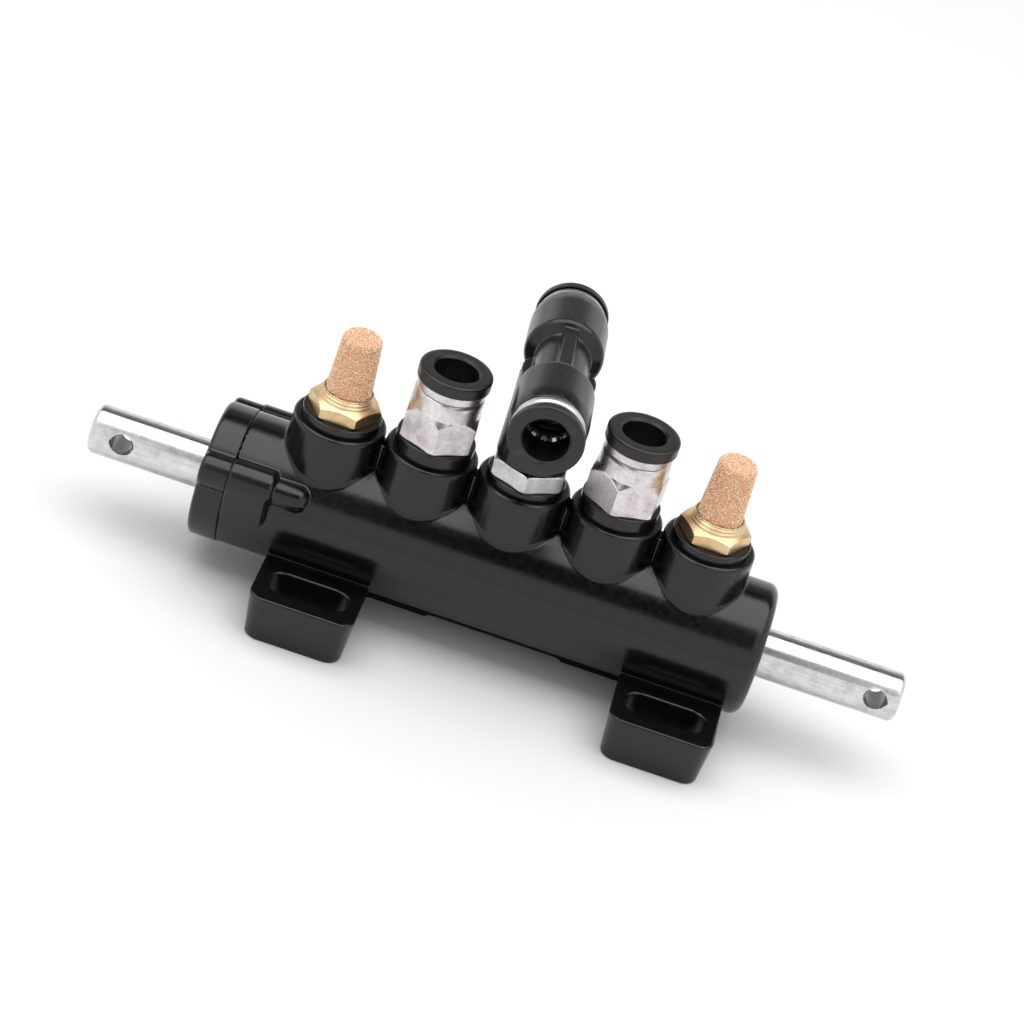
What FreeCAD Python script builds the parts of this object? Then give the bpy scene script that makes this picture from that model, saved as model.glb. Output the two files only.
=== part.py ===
import FreeCAD, Part
import math
import os
from FreeCAD import Vector

# Used all over: reach of a cut past a face, overlap of pieces that fuse, edge break, closeness of places
cut_spare = 0.5
join_overlap = 1.0
edge_break = 0.4
same_place = 0.01

# Feet and seat: the origin lies midway between the two slots, on the plane the feet stand on
slot_pitch = 69.5
slot_width = 6.5
slot_length = 16.0
foot_width = 20.2
foot_height = 9.6
foot_front = 7.15
foot_corner_radius = 3.0
foot_draft_deg = 4.5
seat_to_axis = 17.1
slot_to_axis = 18.25
rail_front = 1.1
rail_back = 9.0
relief_length = 25.5
relief_depth = 0.65
relief_step = 1.2

# Barrel and ports: +X runs along the spool, the middle port stands a little left of the origin
feet_to_middle_port = 3.43
port_pitch = 18.0
port_count = 5
seal_to_barrel_end = 6.75
barrel_radius = 12.9
barrel_end_radius = 2.2
bore_radius = 7.5
end_wall = 5.25

# Port bosses, drafted and joined by a narrow valley between neighbours
boss_radius = 8.8
boss_draft = 0.4
boss_height = 19.4
boss_rim_radius = 0.65
boss_root_fillet = 1.3
boss_root_height = 4.0
valley_radius = 1.9
valley_top_drop = 2.0
thread_radius = 4.8
thread_length = 7.0
thread_clearance = 0.06
tap_depth = 8.5
port_passage_radius = 3.0

# Screw flange at the cap end, its lugs and the blind screw bosses behind them
flange_length = 8.55
lug_angle_deg = 30.0
lug_reach = 12.2
lug_radius = 3.65
nub_radius = 2.5
nub_length = 6.7
nub_nose_radius = 2.0
bottom_lug_reach = 9.9
bottom_lug_width = 8.0
bottom_lug_depth = 13.0

# End cap
cap_thickness = 5.7
cap_lug_radius = 3.35
cap_edge_radius = 1.0
spigot_length = 5.25
spigot_clearance = 0.1

# Cap screws
screw_radius = 1.45
screw_hole_clearance = 0.05
screw_grip = 14.0
screw_hole_spare = 1.5
screw_head_radius = 2.3
screw_head_height = 1.9
screw_head_edge = 0.5
screw_tip_edge = 0.6
screw_head_clearance = 0.15
counterbore_depth = 2.2
socket_radius = 0.9
socket_depth = 1.1

# Spool
spool_radius = 4.8
spool_left_reach = 80.4
spool_right_reach = 79.5
spool_chamfer = 0.7
spool_clearance = 0.05
waist_radius = 3.3
waist_length = 11.0
waist_chamfer = 0.9
pin_hole_radius = 2.05
pin_hole_countersink = 0.5
pin_hole_left_inset = 6.5
pin_hole_right_inset = 4.7
pin_hole_tilt_deg = 11.5

# Spool seals and the perforated cages between them
seal_squeeze = 0.03
seal_gap = 0.06
cage_clearance = 0.1
cage_bore_clearance = 0.4
cage_groove_depth = 0.8
cage_groove_length = 8.0
cage_window_radius = 1.6
cage_window_count = 6

# Seal rings between bosses and fittings
port_seal_radius = 7.5
port_seal_edge = 0.35
silencer_seal_height = 1.7
fitting_seal_height = 2.9
tee_seal_height = 1.4

# Silencers
silencer_hex = 12.0
silencer_hex_height = 2.7
silencer_crimp_radius = 5.1
silencer_crimp_height = 2.0
silencer_crimp_edge = 0.5
element_base_radius = 4.5
element_tip_radius = 3.75
element_height = 13.4
element_seat_depth = 1.6
element_tip_edge = 1.2
element_wall = 1.5
element_clearance = 0.04
hex_chamfer = 0.6

# Push-in cartridge, the same in all four tube sockets
tube_radius = 4.0
collar_radius = 7.05
collar_face_height = 4.1
collar_face_thickness = 0.7
collar_skirt_start = 2.4
collar_skirt_clearance = 0.12
collar_edge_radius = 0.3
collar_hole_radius = 4.2
collar_hole_chamfer = 0.45
collar_stem_radius = 4.95
collar_hook_radius = 5.3
collar_hook_gap = 0.2
collar_hook_height = 0.5
collar_nose_height = 0.4
collar_nose_radius = 4.5
sleeve_radius = 6.5
sleeve_height = 2.25
sleeve_depth = 2.2
sleeve_clearance = 0.1
sleeve_edge_radius = 0.2
socket_wall_radius = 5.95
socket_fit = 0.02
grab_ring_depth = 4.5
grab_ring_thickness = 0.3
grab_ring_rim = 0.6
grab_ring_drop = 0.9
grab_ring_bite_radius = 3.95
grab_ring_slot_width = 0.9
grab_ring_slot_count = 8
tube_seal_section = 0.8
socket_floor_depth = 7.5
tube_stop_depth = 9.5
tube_seat_clearance = 0.05
bore_passage_radius = 2.6

# Straight fitting bodies
fitting_hex = 13.4
fitting_hex_height = 7.0
fitting_neck_height = 3.7
fitting_neck_radius = 6.7
fitting_neck_edge = 0.6
fitting_left_turn_deg = 3.0
fitting_right_turn_deg = -8.2

# Swivel tee
tee_turn_deg = 4.1
tee_hex_height = 3.7
tee_hex_turn_deg = 3.8
tee_run_height = 18.0
tee_mouth_reach = 19.7
tee_post_radius = 4.0
tee_post_clearance = 0.05
tee_post_length = 11.0
tee_post_edge = 0.3
tee_post_end_gap = 0.5
tee_stem_passage_radius = 2.0
tee_seat_gap = 0.1
tee_stem_radius = 6.95
tee_near_radius = 7.2
tee_near_start = 6.5
tee_far_radius = 7.4
tee_far_start = 6.2
tee_far_shoulder = 1.3
tee_far_shoulder_radius = 0.6
tee_neck_radius = 5.1
tee_rib_width = 2.6
tee_rib_reach = 6.3
tee_rib_overlap = 0.8
tee_shoulder_radius = 1.6
tee_shelf_reach = 10.7
tee_shelf_inset = 0.12
tee_shelf_taper = 0.15
tee_shelf_drop = 6.5
tee_shelf_thickness = 4.0
tee_shelf_corner_radius = 0.5
tee_bead_height = 0.2
tee_bead_length = 0.8
tee_bead_place = 5.0
tee_bead_clearance = 0.1
tee_groove_place = 8.5
tee_groove_length = 1.7
tee_groove_depth = 1.2

# Places worked out from the sizes above
axis_z = seat_to_axis
axis_y = slot_to_axis
middle_port_x = -feet_to_middle_port
tee_port = (port_count + 1) // 2
port_x = [middle_port_x + (i - port_count // 2) * port_pitch for i in range(port_count)]
seal_x = [port_x[0] - port_pitch / 2 + i * port_pitch for i in range(port_count + 1)]
barrel_left = seal_x[0] - seal_to_barrel_end
barrel_right = seal_x[-1] + seal_to_barrel_end
boss_top = axis_z + boss_height
flange_end = barrel_left + flange_length
cap_left = barrel_left - cap_thickness
guide_radius = spool_radius + spool_clearance
seal_inner = spool_radius + seal_squeeze
seal_outer = bore_radius - seal_squeeze
seal_section = (seal_outer - seal_inner) / 2
tube_seat_radius = tube_radius + tube_seat_clearance
along_x = Vector(1, 0, 0)
upward = Vector(0, 0, 1)


def in_plan(x, y):
    """Outline point seen from above."""
    return Vector(x, y, 0)


def in_section(radius, height):
    """Outline point of a turned section, the turning axis at zero radius."""
    return Vector(radius, 0, height)


def rounded_wire(corners, plane):
    """Closed outline through corners (u, v, rounding), each rounding drawn as a tangent arc."""
    points = [plane(u, v) for u, v, rounding in corners]
    count = len(corners)
    turns = []
    for i in range(count):
        rounding = corners[i][2]
        back = (points[i - 1] - points[i]).normalize()
        ahead = (points[(i + 1) % count] - points[i]).normalize()
        half = back.getAngle(ahead) / 2
        cut = rounding / math.tan(half)
        inward = (back + ahead) if rounding else Vector(1, 0, 0)
        inward.normalize()
        middle = points[i] + inward * (rounding / math.sin(half) - rounding)
        turns.append((points[i] + back * cut, middle, points[i] + ahead * cut, rounding))
    edges = []
    for i in range(count):
        start, middle, end, rounding = turns[i]
        if rounding:
            edges.append(Part.Arc(start, middle, end).toShape())
        following = turns[(i + 1) % count][0]
        if (following - end).Length > 1e-6:
            edges.append(Part.LineSegment(end, following).toShape())
    return Part.Wire(edges)


def placed(shape, base, direction):
    """Moves a shape made along its own Z to a base point and a direction."""
    result = shape.copy()
    result.Placement = FreeCAD.Placement(base, FreeCAD.Rotation(upward, direction))
    return result


def turned(corners, base=Vector(0, 0, 0), direction=upward):
    """Solid of revolution from its section corners (radius, height, rounding)."""
    face = Part.Face(rounded_wire(corners, in_section))
    return placed(face.revolve(Vector(0, 0, 0), upward, 360), base, direction)


def rod(radius, start, end):
    """Plain round rod along its own Z."""
    return Part.makeCylinder(radius, end - start, Vector(0, 0, start))


def tube(outer, inner, start, end):
    """Plain ring along its own Z."""
    return rod(outer, start, end).cut(rod(inner, start, end))


def o_ring(inner, outer, height):
    """Round-section ring about its own Z."""
    return Part.makeTorus((inner + outer) / 2, (outer - inner) / 2, Vector(0, 0, height))


def hexagon(flats, start, end, turn_deg, chamfer):
    """Hexagon with both ends chamfered; turn_deg is the corner's place from -Y towards +X."""
    corner = flats / math.sqrt(3)
    points = []
    for i in range(7):
        angle = math.radians(turn_deg + 60 * i)
        points.append(Vector(corner * math.sin(angle), -corner * math.cos(angle), start))
    prism = Part.Face(Part.makePolygon(points)).extrude(Vector(0, 0, end - start))
    low = corner - chamfer
    rise = chamfer * math.tan(math.radians(30))
    blank = turned([(0, start, 0), (low, start, 0), (corner, start + rise, 0),
                    (corner, end - rise, 0), (low, end, 0), (0, end, 0)])
    return prism.common(blank)


def at_port(shape, number, height=boss_top):
    """Stands a shape made about its own Z on the port's axis."""
    return placed(shape, Vector(port_x[number - 1], axis_y, height), upward)


def polar(angle_deg, reach):
    """Point (y, z) round the spool axis; the angle counts upwards from the front."""
    angle = math.radians(angle_deg)
    return (axis_y - reach * math.cos(angle), axis_z + reach * math.sin(angle))


def screw_centres():
    """The three cap screws: a lug at the front, one at the back and one underneath."""
    return [polar(lug_angle_deg, lug_reach), polar(180 - lug_angle_deg, lug_reach),
            polar(-90, bottom_lug_reach)]


def valley_offset():
    """Distance of a valley arc's centre from the row's centre line."""
    return math.sqrt((boss_radius + valley_radius) ** 2 - (port_pitch / 2) ** 2)


def boss_row_wire(growth, height):
    """Outline of the five bosses and their valleys, grown outwards by the draft at that height."""
    radius = boss_radius + growth
    share = radius / (boss_radius + valley_radius)
    hollow = valley_radius - growth
    offset = valley_offset()

    def meeting(boss, side, valley):
        """Tangent point of a boss arc and a valley arc; side is -1 in front and 1 behind."""
        centre = Vector(port_x[boss], axis_y, height)
        hollow_centre = Vector((port_x[valley] + port_x[valley + 1]) / 2, axis_y + side * offset, height)
        return centre + (hollow_centre - centre) * share

    def valley_arc(valley, side):
        """Hollow arc between two neighbouring bosses."""
        middle_x = (port_x[valley] + port_x[valley + 1]) / 2
        middle = Vector(middle_x, axis_y + side * (offset - hollow), height)
        return Part.Arc(meeting(valley, side, valley), middle, meeting(valley + 1, side, valley)).toShape()

    last = port_count - 1
    left_end = Vector(port_x[0] - radius, axis_y, height)
    right_end = Vector(port_x[last] + radius, axis_y, height)
    edges = [Part.Arc(meeting(0, -1, 0), left_end, meeting(0, 1, 0)).toShape(),
             Part.Arc(meeting(last, -1, last - 1), right_end, meeting(last, 1, last - 1)).toShape()]
    for side in (-1, 1):
        for valley in range(last):
            edges.append(valley_arc(valley, side))
        for boss in range(1, last):
            crest = Vector(port_x[boss], axis_y + side * radius, height)
            edges.append(Part.Arc(meeting(boss, side, boss - 1), crest, meeting(boss, side, boss)).toShape())
    return Part.Wire(Part.__sortEdges__(edges))


def barrel_with_bosses():
    """Barrel with the row of bosses, filleted where they meet."""
    length = barrel_right - barrel_left
    barrel = turned([(0, 0, 0), (barrel_radius, 0, 0), (barrel_radius, length, barrel_end_radius),
                     (0, length, 0)], Vector(barrel_left, axis_y, axis_z), along_x)
    growth = boss_draft * valley_top_drop / (boss_height - boss_root_height)
    row = Part.makeLoft([boss_row_wire(boss_draft, axis_z + boss_root_height),
                         boss_row_wire(growth, boss_top - valley_top_drop)], True, True)
    head = turned([(0, -valley_top_drop, 0), (boss_radius + growth, -valley_top_drop, 0),
                   (boss_radius, 0, boss_rim_radius), (0, 0, 0)])
    body = barrel.fuse([row] + [at_port(head, i + 1) for i in range(port_count)])
    roots = []
    for edge in body.Edges:
        spots = [edge.valueAt(edge.FirstParameter + share * (edge.LastParameter - edge.FirstParameter))
                 for share in (0.2, 0.5, 0.8)]
        off_barrel = [abs(math.hypot(p.y - axis_y, p.z - axis_z) - barrel_radius) for p in spots]
        within = (min(p.x for p in spots) > barrel_left + same_place
                  and max(p.x for p in spots) < barrel_right - barrel_end_radius - same_place)
        above = min(p.z for p in spots) > axis_z + boss_root_height
        if max(off_barrel) < same_place and within and above:
            roots.append(edge)
    return body.makeFillet(boss_root_fillet, roots)


def flange_wire(radius, x):
    """Barrel outline with two lugs: plain above, drawn down to the barrel by a tangent below."""
    bow = 2 * barrel_radius * lug_reach
    opening = math.acos((barrel_radius ** 2 + lug_reach ** 2 - radius ** 2) / bow)
    groove = lug_angle_deg + math.degrees(opening)
    lean = math.degrees(math.acos((barrel_radius - radius) / lug_reach))
    tangent = lug_angle_deg - lean
    centre_y, centre_z = polar(lug_angle_deg, lug_reach)

    def lug_point(angle_deg):
        """Point on the front lug's arc."""
        angle = math.radians(angle_deg)
        return Vector(x, centre_y - radius * math.cos(angle), centre_z + radius * math.sin(angle))

    def barrel_point(angle_deg):
        return Vector(x, *polar(angle_deg, barrel_radius))

    def mirrored(point):
        return Vector(point.x, 2 * axis_y - point.y, point.z)

    front = [Part.Arc(barrel_point(groove), lug_point(lug_angle_deg), lug_point(tangent)),
             Part.LineSegment(lug_point(tangent), barrel_point(tangent))]
    back = [Part.Arc(mirrored(barrel_point(groove)), mirrored(lug_point(lug_angle_deg)),
                     mirrored(lug_point(tangent))),
            Part.LineSegment(mirrored(lug_point(tangent)), mirrored(barrel_point(tangent)))]
    top = Part.Arc(barrel_point(groove), barrel_point(90), mirrored(barrel_point(groove)))
    bottom = Part.Arc(barrel_point(tangent), barrel_point(-90), mirrored(barrel_point(tangent)))
    edges = [piece.toShape() for piece in front + back + [top, bottom]]
    return Part.Wire(Part.__sortEdges__(edges))


def bottom_lug(start, end):
    """Flat-faced pad under the barrel that holds the third screw."""
    depth = bottom_lug_depth - bore_radius
    corner = Vector(start, axis_y - bottom_lug_width / 2, axis_z - bottom_lug_depth)
    return Part.makeBox(end - start, bottom_lug_width, depth, corner)


def screw_flange():
    """Flange section of the body with its lugs and the blind screw bosses behind them."""
    outline = Part.Face(flange_wire(lug_radius, barrel_left))
    flange = outline.extrude(Vector(flange_length, 0, 0)).fuse(bottom_lug(barrel_left, flange_end))
    for y, z in screw_centres()[:2]:
        reach = flange_length + nub_length
        nub = turned([(0, 0, 0), (nub_radius, 0, 0), (nub_radius, reach, nub_nose_radius), (0, reach, 0)],
                     Vector(barrel_left, y, z), along_x)
        flange = flange.fuse(nub)
    return flange


def foot_wire(centre_x, height):
    """Rounded outline of a foot at a height; its sides draw in towards the seat."""
    draw = (foot_height - height) * math.tan(math.radians(foot_draft_deg))
    half = foot_width / 2 - draw
    front = -foot_front + draw
    back = axis_y + rail_back
    corners = [(centre_x - half, front, foot_corner_radius), (centre_x + half, front, foot_corner_radius),
               (centre_x + half, back, 0), (centre_x - half, back, 0)]
    wire = rounded_wire(corners, in_plan)
    wire.translate(Vector(0, 0, height))
    return wire


def slot_cut(centre_x):
    """Round-ended slot through a foot."""
    half = (slot_length - slot_width) / 2
    middle = Part.makeBox(2 * half, slot_width, foot_height, Vector(centre_x - half, -slot_width / 2, 0))
    ends = [Part.makeCylinder(slot_width / 2, foot_height, Vector(centre_x + way * half, 0, 0))
            for way in (-1, 1)]
    return middle.fuse(ends).removeSplitter()


def foot(centre_x):
    """Slotted mounting foot, running back under the barrel; its top edges and slot rim are rounded."""
    block = Part.makeLoft([foot_wire(centre_x, 0), foot_wire(centre_x, foot_height)], True, True)
    cut = block.cut(slot_cut(centre_x))
    back = axis_y + rail_back - same_place
    top = [edge for edge in cut.Edges
           if edge.BoundBox.ZMin > foot_height - same_place and edge.BoundBox.YMax < back]
    return cut.makeFillet(edge_break, top)


def base_rail():
    """Rail between the feet that carries the barrel; its middle is relieved off the seat."""
    start = -slot_pitch / 2
    end = slot_pitch / 2
    relief = relief_length / 2
    outline = [(start, 0, 0), (-relief - relief_step, 0, edge_break), (-relief, relief_depth, edge_break),
               (relief, relief_depth, edge_break), (relief + relief_step, 0, edge_break), (end, 0, 0),
               (end, axis_z, 0), (start, axis_z, 0)]
    face = Part.Face(rounded_wire(outline, in_section))
    rail = face.extrude(Vector(0, rail_back - rail_front, 0))
    rail.translate(Vector(0, axis_y + rail_front, 0))
    return rail


def port_cut(x):
    """Tapped port with its passage down into the bore."""
    hole = rod(thread_radius + thread_clearance, -tap_depth, cut_spare)
    passage = rod(port_passage_radius, -boss_height, cut_spare)
    return placed(hole.fuse(passage), Vector(x, axis_y, boss_top), upward)


def valve_body():
    """The one-piece moulding: barrel, bosses, flange, feet and rail, then bored and tapped."""
    body = barrel_with_bosses().fuse([screw_flange(), foot(-slot_pitch / 2), foot(slot_pitch / 2), base_rail()])
    bore_end = barrel_right - end_wall
    cuts = [Part.makeCylinder(bore_radius, bore_end - barrel_left, Vector(barrel_left, axis_y, axis_z), along_x),
            Part.makeCylinder(guide_radius, end_wall, Vector(bore_end, axis_y, axis_z), along_x)]
    cuts += [port_cut(x) for x in port_x]
    depth = screw_grip - (cap_thickness - counterbore_depth) + screw_hole_spare
    for y, z in screw_centres():
        cuts.append(Part.makeCylinder(screw_radius + screw_hole_clearance, depth,
                                      Vector(barrel_left, y, z), along_x))
    return body.cut(cuts).removeSplitter()


def end_cap():
    """Screwed end cap with its spigot, the spool's left guide bore and counterbored screw holes."""
    disc = turned([(0, 0, 0), (barrel_radius, 0, cap_edge_radius), (barrel_radius, cap_thickness, 0),
                   (0, cap_thickness, 0)], Vector(cap_left, axis_y, axis_z), along_x)
    cap = disc.fuse(bottom_lug(cap_left + cap_edge_radius, barrel_left))
    for y, z in screw_centres()[:2]:
        lug = turned([(0, 0, 0), (cap_lug_radius, 0, cap_edge_radius), (cap_lug_radius, cap_thickness, 0),
                      (0, cap_thickness, 0)], Vector(cap_left, y, z), along_x)
        cap = cap.fuse(lug)
    spigot = Part.makeCylinder(bore_radius - spigot_clearance, spigot_length,
                               Vector(barrel_left, axis_y, axis_z), along_x)
    reach = cap_thickness + spigot_length
    cuts = [Part.makeCylinder(guide_radius, reach, Vector(cap_left, axis_y, axis_z), along_x)]
    for y, z in screw_centres():
        start = Vector(cap_left, y, z)
        cuts.append(Part.makeCylinder(screw_radius + screw_hole_clearance, cap_thickness, start, along_x))
        cuts.append(Part.makeCylinder(screw_head_radius + screw_head_clearance, counterbore_depth,
                                      start, along_x))
    return cap.fuse(spigot).cut(cuts).removeSplitter()


def cap_screws():
    """Three socket-head thread-forming screws, seated in the cap's counterbores."""
    screws = []
    for y, z in screw_centres():
        seat = cap_left + counterbore_depth
        screw = turned([(0, -screw_head_height, 0), (screw_head_radius, -screw_head_height, screw_head_edge),
                        (screw_head_radius, 0, 0), (screw_radius, 0, 0),
                        (screw_radius, screw_grip, screw_tip_edge), (0, screw_grip, 0)])
        socket = rod(socket_radius, -screw_head_height, socket_depth - screw_head_height)
        screws.append(placed(screw.cut(socket), Vector(seat, y, z), along_x))
    return Part.makeCompound(screws)


def spool():
    """Turned spool: two waists that link a working port to one neighbour at a time, a pin hole at each end."""
    left = middle_port_x - spool_left_reach
    right = middle_port_x + spool_right_reach
    corners = [(0, 0, 0), (spool_radius - spool_chamfer, 0, 0), (spool_radius, spool_chamfer, 0)]
    for x in (port_x[1], port_x[3]):
        start = x - waist_length / 2 - left
        end = x + waist_length / 2 - left
        corners += [(spool_radius, start, 0), (waist_radius, start + waist_chamfer, 0),
                    (waist_radius, end - waist_chamfer, 0), (spool_radius, end, 0)]
    length = right - left
    corners += [(spool_radius, length - spool_chamfer, 0), (spool_radius - spool_chamfer, length, 0),
                (0, length, 0)]
    bar = turned(corners, Vector(left, axis_y, axis_z), along_x)
    tilt = math.radians(pin_hole_tilt_deg)
    across = Vector(0, -math.cos(tilt), math.sin(tilt))
    reach = spool_radius + cut_spare
    hole = rod(pin_hole_radius, -reach, reach)
    sink = pin_hole_countersink + cut_spare
    for way in (upward, -upward):
        start = way * (spool_radius - pin_hole_countersink)
        hole = hole.fuse(Part.makeCone(pin_hole_radius, pin_hole_radius + sink, sink, start, way))
    for x in (left + pin_hole_left_inset, right - pin_hole_right_inset):
        bar = bar.cut(placed(hole, Vector(x, axis_y, axis_z), across))
    return bar


def spool_seal(x):
    """O-ring between two cages, gripping the spool's land."""
    return placed(o_ring(seal_inner, seal_outer, 0), Vector(x, axis_y, axis_z), along_x)


def spacer_cage(x):
    """Perforated spacer that keeps two seals apart and lets the air through under its port."""
    half = port_pitch / 2 - seal_section - seal_gap
    outer = bore_radius - cage_clearance
    inner = spool_radius + cage_bore_clearance
    groove = cage_groove_length / 2
    floor = outer - cage_groove_depth
    cage = turned([(inner, -half, 0), (outer, -half, 0), (outer, -groove, 0), (floor, -groove, 0),
                   (floor, groove, 0), (outer, groove, 0), (outer, half, 0), (inner, half, 0)])
    for i in range(cage_window_count):
        angle = 2 * math.pi * i / cage_window_count
        outward = Vector(math.cos(angle), math.sin(angle), 0)
        window = Part.makeCylinder(cage_window_radius, outer, Vector(0, 0, 0), outward)
        cage = cage.cut(window)
    return placed(cage, Vector(x, axis_y, axis_z), along_x)


def port_seal(number, height):
    """Seal ring squeezed between a boss rim and the hexagon above it."""
    inner = thread_radius + thread_clearance
    ring = turned([(inner, 0, 0), (port_seal_radius, 0, 0), (port_seal_radius, height, port_seal_edge),
                   (inner, height, 0)])
    return at_port(ring, number)


def thread_stub(seal_height, passage):
    """Threaded shank below a hexagon, drawn plain, with its air passage."""
    return tube(thread_radius, passage, -thread_length, seal_height)


def silencer_base(number):
    """Brass base: shank, hexagon with a flat to the front and a crimped rim round the element."""
    low = silencer_seal_height
    top = low + silencer_hex_height
    rim = top + silencer_crimp_height
    base = hexagon(silencer_hex, low, top, 30, hex_chamfer)
    root = top - join_overlap
    crimp = turned([(0, root, 0), (silencer_crimp_radius, root, 0),
                    (silencer_crimp_radius, rim, silencer_crimp_edge), (0, rim, 0)])
    seat = rod(element_base_radius + element_clearance, rim - element_seat_depth, rim)
    base = base.fuse(crimp).cut(rod(bore_passage_radius, low, rim)).cut(seat)
    return at_port(base.fuse(thread_stub(low, bore_passage_radius)), number)


def silencer_element(number):
    """Sintered bronze cone, hollow from below."""
    low = silencer_seal_height + silencer_hex_height + silencer_crimp_height - element_seat_depth
    top = low + element_height
    core = element_base_radius - element_wall
    roof = top - element_wall
    cone = turned([(core, low, 0), (element_base_radius, low, 0), (element_tip_radius, top, element_tip_edge),
                   (0, top, 0), (0, roof, 0), (element_tip_radius - element_wall, roof, 0)])
    return at_port(cone, number)


def socket_cut():
    """Stepped tube socket, its mouth at zero height and its floor below."""
    passage = rod(bore_passage_radius, -tube_stop_depth - join_overlap, cut_spare)
    seat = rod(tube_seat_radius, -tube_stop_depth, cut_spare)
    return rod(socket_wall_radius, -socket_floor_depth, cut_spare).fuse([seat, passage])


def sleeve():
    """Bright ring pressed into the socket mouth; it guides the release collar."""
    inner = collar_stem_radius + sleeve_clearance
    fitted = socket_wall_radius - socket_fit
    return turned([(inner, -sleeve_depth, 0), (fitted, -sleeve_depth, 0), (fitted, 0, 0), (sleeve_radius, 0, 0),
                   (sleeve_radius, sleeve_height, sleeve_edge_radius), (inner, sleeve_height, 0)])


def release_collar():
    """Push collar: a face with a skirt that slips over the sleeve, and a hooked stem inside it."""
    top = collar_face_height
    under = top - collar_face_thickness
    skirt = sleeve_radius + collar_skirt_clearance
    hook_top = -sleeve_depth - collar_hook_gap
    hook_end = hook_top - collar_hook_height
    tip = hook_end - collar_nose_height
    return turned([(collar_hole_radius, tip, 0), (collar_nose_radius, tip, 0), (collar_hook_radius, hook_end, 0),
                   (collar_hook_radius, hook_top, 0), (collar_stem_radius, hook_top, 0),
                   (collar_stem_radius, under, 0), (skirt, under, 0), (skirt, collar_skirt_start, 0),
                   (collar_radius, collar_skirt_start, 0), (collar_radius, top, collar_edge_radius),
                   (collar_hole_radius + collar_hole_chamfer, top, 0),
                   (collar_hole_radius, top - collar_hole_chamfer, 0)])


def grab_ring():
    """Toothed spring ring: a flat rim and slotted teeth that lean inwards and down."""
    rim_outer = socket_wall_radius - socket_fit
    rim_inner = rim_outer - grab_ring_rim
    top = -grab_ring_depth
    low = top - grab_ring_drop
    wall = grab_ring_thickness
    ring = turned([(rim_outer, top, 0), (rim_inner, top, 0), (grab_ring_bite_radius, low, 0),
                   (grab_ring_bite_radius, low - wall, 0), (rim_inner, top - wall, 0), (rim_outer, top - wall, 0)])
    for i in range(grab_ring_slot_count):
        slot = Part.makeBox(rim_inner, grab_ring_slot_width, grab_ring_drop + 2 * wall,
                            Vector(0, -grab_ring_slot_width / 2, low - wall))
        slot.rotate(Vector(0, 0, 0), upward, 360 * i / grab_ring_slot_count)
        ring = ring.cut(slot)
    return ring


def tube_seal():
    """O-ring that seals on the tube, resting on the socket's floor."""
    outer = socket_wall_radius - socket_fit
    return o_ring(outer - 2 * tube_seal_section, outer, tube_seal_section - socket_floor_depth + socket_fit)


def cartridge(prefix, base, outward):
    """The four pieces of one push-in socket, set at its mouth."""
    makers = {"sleeve": sleeve, "release_collar": release_collar, "grab_ring": grab_ring, "tube_seal": tube_seal}
    return {prefix + "_" + name: placed(make(), base, outward) for name, make in makers.items()}


def fitting_mouth():
    """Height of a straight fitting's socket mouth above the boss rim."""
    return fitting_seal_height + fitting_hex_height + fitting_neck_height


def fitting_body(number, turn_deg):
    """Plated straight fitting: shank, hexagon, round neck and stepped socket."""
    low = fitting_seal_height
    top = low + fitting_hex_height
    mouth = fitting_mouth()
    body = hexagon(fitting_hex, low, top, turn_deg, hex_chamfer)
    root = top - join_overlap
    neck = turned([(0, root, 0), (fitting_neck_radius, root, 0),
                   (fitting_neck_radius, mouth, fitting_neck_edge), (0, mouth, 0)])
    shank = rod(thread_radius, -thread_length, low)
    body = body.fuse([neck, shank])
    socket = socket_cut()
    socket.translate(Vector(0, 0, mouth))
    return at_port(body.cut([socket, rod(bore_passage_radius, -thread_length, mouth)]), number)


def tee_hex_top():
    """Height of the tee's hexagon top above the boss rim."""
    return tee_seal_height + tee_hex_height


def tee_stem():
    """Plated tee stem: shank and hexagon below, and the post that the tee swivels on."""
    low = tee_seal_height
    top = tee_hex_top()
    end = top + tee_post_length
    groove = tee_post_radius - tee_groove_depth
    groove_low = top + tee_groove_place
    groove_top = groove_low + tee_groove_length
    bead = tee_post_radius + tee_bead_height
    bead_low = top + tee_bead_place
    bead_top = bead_low + tee_bead_length
    root = top - join_overlap
    post = turned([(0, root, 0), (tee_post_radius, root, 0), (tee_post_radius, bead_low, 0),
                   (bead, bead_low, 0), (bead, bead_top - tee_bead_height, 0), (tee_post_radius, bead_top, 0),
                   (tee_post_radius, groove_low, 0), (groove, groove_low, 0), (groove, groove_top, 0),
                   (tee_post_radius, groove_top, 0), (tee_post_radius, end, tee_post_edge), (0, end, 0)])
    shank = rod(thread_radius, -thread_length, low)
    stem = hexagon(fitting_hex, low, top, tee_hex_turn_deg, hex_chamfer).fuse([post, shank])
    return at_port(stem.cut(rod(tee_stem_passage_radius, -thread_length, end)), tee_port)


def tee_stem_seal():
    """O-ring in the post's groove."""
    inner = tee_post_radius - tee_groove_depth
    middle = tee_hex_top() + tee_groove_place + tee_groove_length / 2
    return at_port(o_ring(inner + seal_squeeze, tee_post_radius, middle), tee_port)


def tee_frame(shape):
    """Stands the tee's own frame, run along Y at zero height, on the middle port at its turn."""
    height = boss_top + tee_hex_top() + tee_run_height
    result = shape.copy()
    turn = FreeCAD.Rotation(upward, tee_turn_deg)
    result.Placement = FreeCAD.Placement(Vector(port_x[tee_port - 1], axis_y, height), turn).multiply(result.Placement)
    return result


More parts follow.
